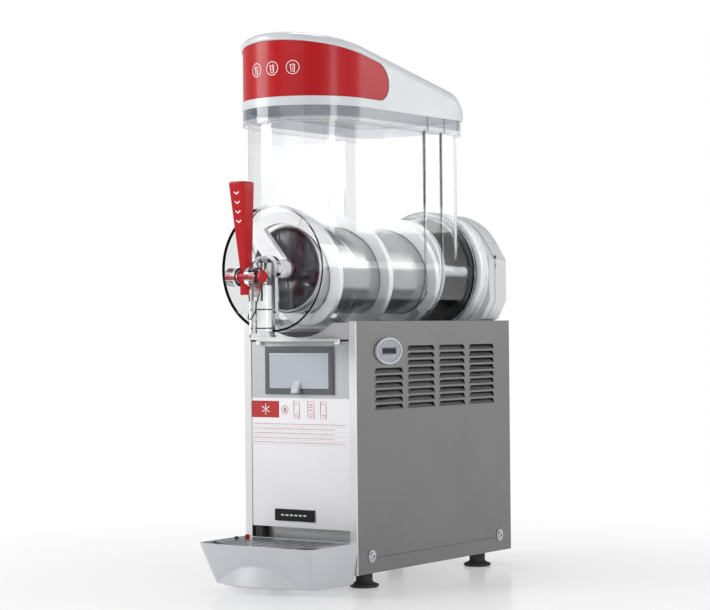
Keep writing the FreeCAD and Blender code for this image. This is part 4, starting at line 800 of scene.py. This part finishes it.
def lever_pin():
    """The hinge pin: a red rod through both lugs with a hexagonal head, and dark rings beside the hub."""
    spot = (PIVOT_Y, PIVOT_Z)
    rod = disc_x("pin_rod", 0.3, 3.9, -27, 29.0, spot, "bowl_body", "red_plastic")
    disc_x("pin_neck", 3.0, 5.4, 25.7, 29.6, spot, "bowl_body", "red_plastic")
    disc_x("pin_head", 0.3, 9.7, 29.4, 33.0, spot, "bowl_body", "red_plastic", sides=6, turn=0.2)
    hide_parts("lever_pin")
    for i, x in enumerate((-8.15, 7.85)):
        disc_x(f"hub_ring_{i}", 9.2, 13.1, x, x + 0.3, spot, "lever", "black_rubber")


def lever_marks():
    """White arrowheads down the paddle's front that show which way it is drawn."""
    marks = [stroke([(-4.2, v + 3.2), (0, v), (4.2, v + 3.2)], 1.5) for v in (114, 101, 88, 75)]

    def place(u, v, height):
        return u, PIVOT_Y + lever_front(v) - height + 0.05, PIVOT_Z + v
    printed("lever_arrows", marks, place, INK_WHITE, "lever", "red_plastic")


def tap_spring():
    """Hairpin of spring wire: hooked under the tap's fin, its legs bowed out beside the lever's toe."""
    leg = [(10.0, -101, 44), (8.4, -102.5, 34), (5.2, -104, 24), (5.0, -105, 14), (3.6, -110, 7),
           (3.3, -111.5, 5)]
    points = [(-x, y, z) for x, y, z in leg] + [(-1.5, -112.5, 3.4), (1.5, -112.5, 3.4)] + leg[::-1]
    curve = bpy.data.curves.new("tap_spring_wire", "CURVE")
    curve.dimensions = "3D"
    curve.bevel_depth = 1.0 * MM
    curve.bevel_resolution = 4
    curve.use_fill_caps = True
    line = curve.splines.new("NURBS")
    line.points.add(len(points) - 1)
    for spot, point in zip(line.points, points):
        spot.co = (*from_front(*point), 1)
    line.order_u = 3
    line.use_endpoint_u = True
    line.resolution_u = 8
    curve.materials.append(brushed("wire_dark", (0.085, 0.08, 0.075), "z", 0.35))
    spring = add_object("tap_spring_wire", curve)
    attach(spring, "bowl_body")
    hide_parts("tap_spring")


def drum_face():
    """Ribbed black disc on the drum's front, with a purple ring round the shaft."""
    dark = plastic("disc_black", (0.016, 0.016, 0.024), 0.25, level=0.35)
    purple = plastic("ring_purple", (0.10, 0.03, 0.10), 0.3)
    axis = (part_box("drive_shaft")[0].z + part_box("drive_shaft")[1].z) / 2
    level = (axis - DECK) / MM
    collar("drum_face_disc", 13.2, 54.0, -29.4, -28.2, 0.6, level, 96, "black_plastic", dark)
    collar("drum_face_ring", 13.4, 16.6, -31.0, -29.3, 0.6, level, 96, "black_plastic", purple)
    for i in range(8):
        a = math.radians(45 * i + 12)
        out, side = Vector((math.cos(a), math.sin(a))), Vector((-math.sin(a), math.cos(a)))
        corners = [out * 17.5 - side * 1.1, out * 53 - side * 0.7, out * 53 + side * 0.7,
                   out * 17.5 + side * 1.1]
        rings = [[(c.x, y, level + c.y) for c in corners] for y in (-29.2, -29.9)]
        soften(skin(f"drum_face_rib_{i}", rings, "cabinet", "black_plastic", dark), 0.2)


def barrel_arc(radius, angles):
    """Places (x, z) round the barrel's axis, at angles from its lowest line."""
    return [(radius * math.sin(a), BARREL_Z - radius * math.cos(a)) for a in angles]


def basin_front():
    """The basin's front: a steel sheet cut out round the bowl's barrel, with white clips at the drip nose."""
    high, low, half = -2.0, -26.0, 87.5
    side = math.acos((BARREL_Z - high) / BASIN_REACH)
    outline = [(-half, high), (-half, low), (half, low), (half, high)]
    outline += barrel_arc(BASIN_REACH, steps(side, -side, 48))
    rings = [[(x, y, z) for x, z in outline] for y in (0.25, 1.35)]
    skin("basin_front_sheet", rings, "cabinet", "brushed_steel", BASIN_STEEL)
    clip_front = -6.0
    for i, x in enumerate((-70.5, 70.5)):
        block(f"nose_clip_{i}", (x - 3.3, x + 3.3), (clip_front, -1), (-32.6, -26.4), "cabinet",
                           "white_plastic", 0.6)
        # painted shade: a black dot stands for the shaded hole in each clip
        dot = [stroke([(x - 0.9, -28.6), (x + 0.9, -28.6)], 1.8)]
        printed(f"nose_clip_hole_shade_{i}", dot, on_panel(clip_front), MATERIALS["black_plastic"], "cabinet",
                "white_plastic")
    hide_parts("nose_clips")


FIN_INNER, FIN_OUTER, FIN_THICK = 90.2, 97.5, 2.2
FIN_START = 31  # degrees round the barrel from its lowest line


def bowl_fins():
    """Clear curved fins under the barrel, front and back on both sides, that sit the bowl on the deck."""
    # painted shade: a darker copy of the bowl's clear plastic, so that the fins' thick edges read dark
    shaded_fin_clear = clear("fin_clear", (0.62, 0.64, 0.68), density=60.0)
    for i, (y, end) in enumerate(((12, 62), (24, 62), (197, 50), (229, 50))):
        for side, sign in (("left", -1), ("right", 1)):
            spread = steps(math.radians(FIN_START), math.radians(end), 14)
            section = barrel_arc(FIN_INNER, spread) + barrel_arc(FIN_OUTER, reversed(spread))
            outline = [(sign * x, z) for x, z in section][::sign]
            rings = [[(x, deep, z) for x, z in outline] for deep in (y, y + FIN_THICK)]
            skin(f"bowl_fin_{side}_{i}", rings, "bowl_body", "clear_plastic", shaded_fin_clear)


LOUVRE_FIRST_Y, LOUVRE_COLUMN, LOUVRE_LONG = 44.5, 83.0, 74.0  # front end, spacing, length
LOUVRE_TOP, LOUVRE_PITCH, LOUVRE_TALL = -36.0, 10.45, 7.2      # upper edge, spacing, height
LOUVRE_ROWS = 9
LOUVRE_SKIN = (98.85, 99.97)  # the sheet's inner and outer faces


def louvre_ends():
    """The round shoulders at both ends of every louvre opening."""
    shoulder = [(0, 0), (7.0, 0), (5.0, -0.5), (3.7, -1.5), (2.8, -3.0), (1.2, -LOUVRE_TALL),
                (0, -LOUVRE_TALL)]
    for side, sign in (("left", -1), ("right", 1)):
        points, faces = [], []
        for column, count in enumerate((6, LOUVRE_ROWS, LOUVRE_ROWS, LOUVRE_ROWS)):
            for line in range(LOUVRE_ROWS - count, LOUVRE_ROWS):
                top = LOUVRE_TOP - line * LOUVRE_PITCH
                start = LOUVRE_FIRST_Y + column * LOUVRE_COLUMN
                for end, way in ((start - 0.05, 1), (start + LOUVRE_LONG + 0.05, -1)):
                    outline = [(end + way * y, top + z) for y, z in shoulder]
                    base = len(points)
                    points += [(sign * x, y, z) for x in LOUVRE_SKIN for y, z in outline]
                    made = rings_to_faces(2, len(outline), True, True)
                    flip = 1 if way * sign > 0 else -1
                    faces += [tuple(base + k for k in face)[::flip] for face in made]
        piece(f"louvre_ends_{side}", points, faces, "cabinet", "cabinet_steel")


DISPLAY_FACE = 102.6
DISPLAY_Y, DISPLAY_Z = 79, -43
DISPLAY_LONG, DISPLAY_TALL = 33, 19  # half its length and half its height


def display_details():
    """Rim, window frame, three buttons and a lamp on the oval display."""
    def marks(name, strokes, material, thick=PRINT_THICK):
        printed(name, strokes, lambda u, v, height: (DISPLAY_FACE + height, u, v), material, "cabinet",
                "light_grey_plastic", thick)

    def oval(k):
        return [(DISPLAY_Y + DISPLAY_LONG * k * math.cos(a), DISPLAY_Z + DISPLAY_TALL * k * math.sin(a))
                for a in steps(0, 2 * math.pi, 64)[:-1]]

    marks("display_rim", [stroke(oval(0.93), 3.0, closed=True)], BEZEL_RIM, 0.5)
    dark = [stroke(oval(0.84), 0.6, closed=True), stroke(rectangle(61.4, -47.2, 35.2, 8.4), 1.0, closed=True)]
    marks("display_lines", dark, plastic("bezel_shade", (0.10, 0.10, 0.13), 0.4))
    buttons = [stroke(circle(y, -51.6, 1.1, 16), 1.2, closed=True) for y in (69, 79, 89)]
    marks("display_buttons", buttons, BEZEL_RIM, 0.4)
    marks("display_lamp", [stroke([(78.2, -55.4), (79.8, -55.4)], 1.2)], MATERIALS["red_plastic"], 0.3)


def cover_screw():
    """A black disc on the cover's seam: painted shade for the pit that a small screw sits in."""
    disc_x("cover_screw_pit_shade", 0.3, 2.6, 95.0, 96.3, (380.5, 99.0), "cabinet", "black_plastic", sides=20)


def gasket_lip():
    """White lip of the bowl's gasket, round the dish and inside the clear collar."""
    collar("gasket_lip", 84.2, 92.4, 341.0, 348.8, 1.0, BARREL_Z, 120, "white_plastic")


def tray_rubbers():
    """A small dark stud beside the float, and a rubber stop in the recess behind the drip tray."""
    rings = [[(x, y, z) for x, y in circle(-90, -34, 2.8, 20)] for z in (-311.6, -308.6)]
    soften(skin("grille_stud", rings, "grille", "black_rubber"), 0.5)
    block("recess_stop", (-84, -70), (2, 12), (-314.0, -293.0), "cabinet", "black_rubber", 1.5)


# ---------------- drip tray

TRAY_WALL = 3.0
TRAY_REACH = -113.0  # the front edge, at the middle of the lip
TRAY_LEAN = 27.0     # how far the face falls back from lip to base
SWELL_REACH = -97.6  # the swelling's front at its upper end
SWELL_DEEP = 13.5    # how much further it comes at the base
SWELL_ARC = 226.0    # flatness of its arc
TRAY_HALF = 101.5    # half its width at the top
TRAY_DRAFT = 8.5     # how much narrower each side is at the base
TRAY_CORNER = 15
TRAY_FOOT = 3        # rounding between base and walls


def tray_front(x, z):
    """The tray's front: a leaning face, with a swelling low down whose edge reads as an arc."""
    down = (TRAY_TOP - z) / (TRAY_TOP - TRAY_BASE)
    face = TRAY_REACH + TRAY_LEAN * down + 1.2e-4 * x * x
    swell = SWELL_REACH - SWELL_DEEP * (down - 0.42) / 0.58 + (x + 5) ** 2 / SWELL_ARC
    return soft_min(face, swell, 0.3)


def tray_loop(z, inset):
    """The tray's outline at one height, from its back left corner round the front."""
    down = (TRAY_TOP - z) / (TRAY_TOP - TRAY_BASE)
    half = TRAY_HALF - TRAY_DRAFT * down ** 1.3 - inset
    corner = TRAY_CORNER - min(inset, 3)
    back = -1.0 - inset
    flat = half - corner
    points = [(-half, y) for y in steps(back, tray_front(-flat, z) + inset + corner, 14)]
    points += [(-flat - corner * math.cos(a), tray_front(-flat, z) + inset + corner * (1 - math.sin(a)))
               for a in steps(0, math.pi / 2, 12)[1:-1]]
    points += [(x, tray_front(x, z) + inset) for x in steps(-flat, flat, 72)]
    points += [(flat + corner * math.sin(a), tray_front(flat, z) + inset + corner * (1 - math.cos(a)))
               for a in steps(0, math.pi / 2, 12)[1:-1]]
    points += [(half, y) for y in steps(tray_front(flat, z) + inset + corner, back, 14)]
    points += [(x, back) for x in steps(half, -half, 20)[1:-1]]
    return [(x, y, z) for x, y in points]


def drip_tray():
    """The tray as one skin, outside from the base up and inside down again, and its two rear hooks."""
    rings = [tray_loop(TRAY_BASE, 6), tray_loop(TRAY_BASE, TRAY_FOOT)]
    rings += [tray_loop(TRAY_BASE + TRAY_FOOT * (1 - math.cos(a)), TRAY_FOOT * (1 - math.sin(a)))
              for a in (0.4, 0.8, 1.2, math.pi / 2)]
    rings += [tray_loop(z, 0) for z in steps(TRAY_BASE + TRAY_FOOT, TRAY_TOP - 1, 36)[1:]]
    rings += [tray_loop(TRAY_TOP - 0.3, 0.3), tray_loop(TRAY_TOP, 1.0), tray_loop(TRAY_TOP, TRAY_WALL - 0.6),
              tray_loop(TRAY_TOP - 0.5, TRAY_WALL)]
    rings += [tray_loop(z, TRAY_WALL) for z in steps(TRAY_TOP - 1, TRAY_BASE + 5, 12)]
    rings += [tray_loop(TRAY_BASE + TRAY_WALL, 6)]
    tray = skin("drip_tray_moulding", rings, "tray", "light_grey_plastic")
    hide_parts("drip_tray")
    for i, x_pair in enumerate(((-84, -62), (62, 84))):
        block(f"tray_hook_{i}", x_pair, (-3, 11), (-327.0, -315.0), "tray", "light_grey_plastic", 1.0)


# ---------------- stage, light and camera

def stage():
    """A pale glossy floor that fades to pure white away from the machine, so that it has no horizon."""
    mesh = bpy.data.meshes.new("floor")
    reach = 9.0
    mesh.from_pydata([(-reach, -reach, 0), (reach, -reach, 0), (reach, reach, 0), (-reach, reach, 0)], [],
                     [(0, 1, 2, 3)])
    floor = add_object("floor", mesh)
    graph = Graph("floor_pale", (0.93, 0.93, 0.935), 0.22)
    graph.roughen(graph.noise(3), 0.2, 0.24)
    away = graph.node("VectorMath", {0: graph.coords}, operation="LENGTH").outputs["Value"]
    fade = graph.span(away, 0.35, 1.0, 0.25, 0.95)
    glow = graph.node("Emission", {"Color": (1, 1, 1, 1), "Strength": 1.0})
    mixed = graph.node("MixShader", {0: fade, 1: graph.shader.outputs["BSDF"], 2: glow.outputs["Emission"]})
    graph.tree.links.new(mixed.outputs["Shader"], graph.output().inputs["Surface"])
    mesh.materials.append(graph.material)


# name, place, width and height in metres, watts
LAMPS = (("key", (-2.05, -1.75, 1.5), (1.3, 1.5), 54),
         ("front_fill", (0.35, -2.8, 1.1), (2.0, 1.4), 12),
         ("side_fill", (2.4, -0.6, 0.9), (0.5, 1.4), 13),
         ("top", (-0.2, 0.3, 2.4), (0.7, 1.0), 20),
         ("rear", (1.6, 1.8, 1.2), (0.8, 1.2), 8))


def lights():
    """Rectangular lamps round the machine, all pointed at its middle."""
    for name, spot, size, power in LAMPS:
        lamp = bpy.data.lights.new(name, "AREA")
        lamp.shape = "RECTANGLE"
        lamp.size, lamp.size_y = size
        lamp.energy = power
        item = add_object(name, lamp)
        item.location = spot
        item.rotation_euler = (Vector(AIM) - Vector(spot)).to_track_quat("-Z", "Y").to_euler()


def world():
    """A white sweep all round; reflections and soft light also see a dark ceiling and a darker front."""
    made = bpy.data.worlds.new("studio")
    bpy.context.scene.world = made
    made.use_nodes = True
    tree = made.node_tree
    sky = tree.nodes["Background"]

    def node(kind, inputs=None, **settings):
        return add_node(tree, kind, inputs, **settings)

    def span(source, start, end, low, high):
        return node("MapRange", {"Value": source, "From Min": start, "From Max": end, "To Min": low,
                                 "To Max": high}).outputs["Result"]

    way = node("TexCoord").outputs["Generated"]
    up = node("SeparateXYZ", {"Vector": way}).outputs["Z"]
    ceiling = span(up, 0.12, 0.38, 1.0, CEILING)
    rays = node("LightPath").outputs
    straight = node("Math", {0: rays["Is Camera Ray"], 1: rays["Is Transmission Ray"]}, operation="MAXIMUM")
    behind = (math.sin(math.radians(VIEW_TURN)), math.cos(math.radians(VIEW_TURN)), 0)
    facing = node("VectorMath", {0: way, 1: behind}, operation="DOT_PRODUCT").outputs["Value"]
    sweep = span(facing, -0.9, 0.3, FRONT_SHADE, 1.0)
    shade = node("Math", {0: ceiling, 1: sweep}, operation="MULTIPLY").outputs["Value"]
    inside = span(rays["Diffuse Depth"], 0.0, 1.0, 1.0, INSIDE_GLOW)
    level = node("Mix", {"Factor": straight.outputs["Value"], "A": shade, "B": inside},
                 data_type="FLOAT").outputs["Result"]
    tree.links.new(level, sky.inputs["Color"])
    sky.inputs["Strength"].default_value = 1.0


def camera():
    """A long lens, level with the cabinet's top edge and to the right of the front."""
    turn, pitch, roll = (math.radians(angle) for angle in (VIEW_TURN, VIEW_PITCH, VIEW_ROLL))
    forward = Vector((-math.sin(turn) * math.cos(pitch), math.cos(turn) * math.cos(pitch), math.sin(pitch)))
    level = Vector((math.cos(turn), math.sin(turn), 0))
    above = level.cross(forward)
    right = math.cos(roll) * level + math.sin(roll) * above
    up = math.cos(roll) * above - math.sin(roll) * level
    lens = bpy.data.cameras.new("camera")
    lens.sensor_width = 36
    lens.lens = LENS_MM
    item = add_object("camera", lens)
    place = from_front(*VIEW_PLACE)
    item.matrix_world = Matrix.Translation(place) @ Matrix((right, up, -forward)).transposed().to_4x4()
    bpy.context.scene.camera = item


lid_shell()
lid_icons()
label_prints()
badge_marks()
lever()
lever_marks()
tap_spring()
lever_pin()
drum_face()
basin_front()
bowl_fins()
louvre_ends()
display_details()
cover_screw()
gasket_lip()
tray_rubbers()
drip_tray()
for name, width in (("side_panel_right", 0.3), ("side_panel_left", 0.3),
                    ("gear_housing", 0.8), ("rear_cover", 1.5), ("auger", 0.8), ("control_bezel", 0.5),
                    ("control_door", 0.4), ("badge", 0.3)):
    soften(nodes[name], width)
stage()
world()
lights()
camera()
bpy.context.scene.view_settings.view_transform = "Standard"
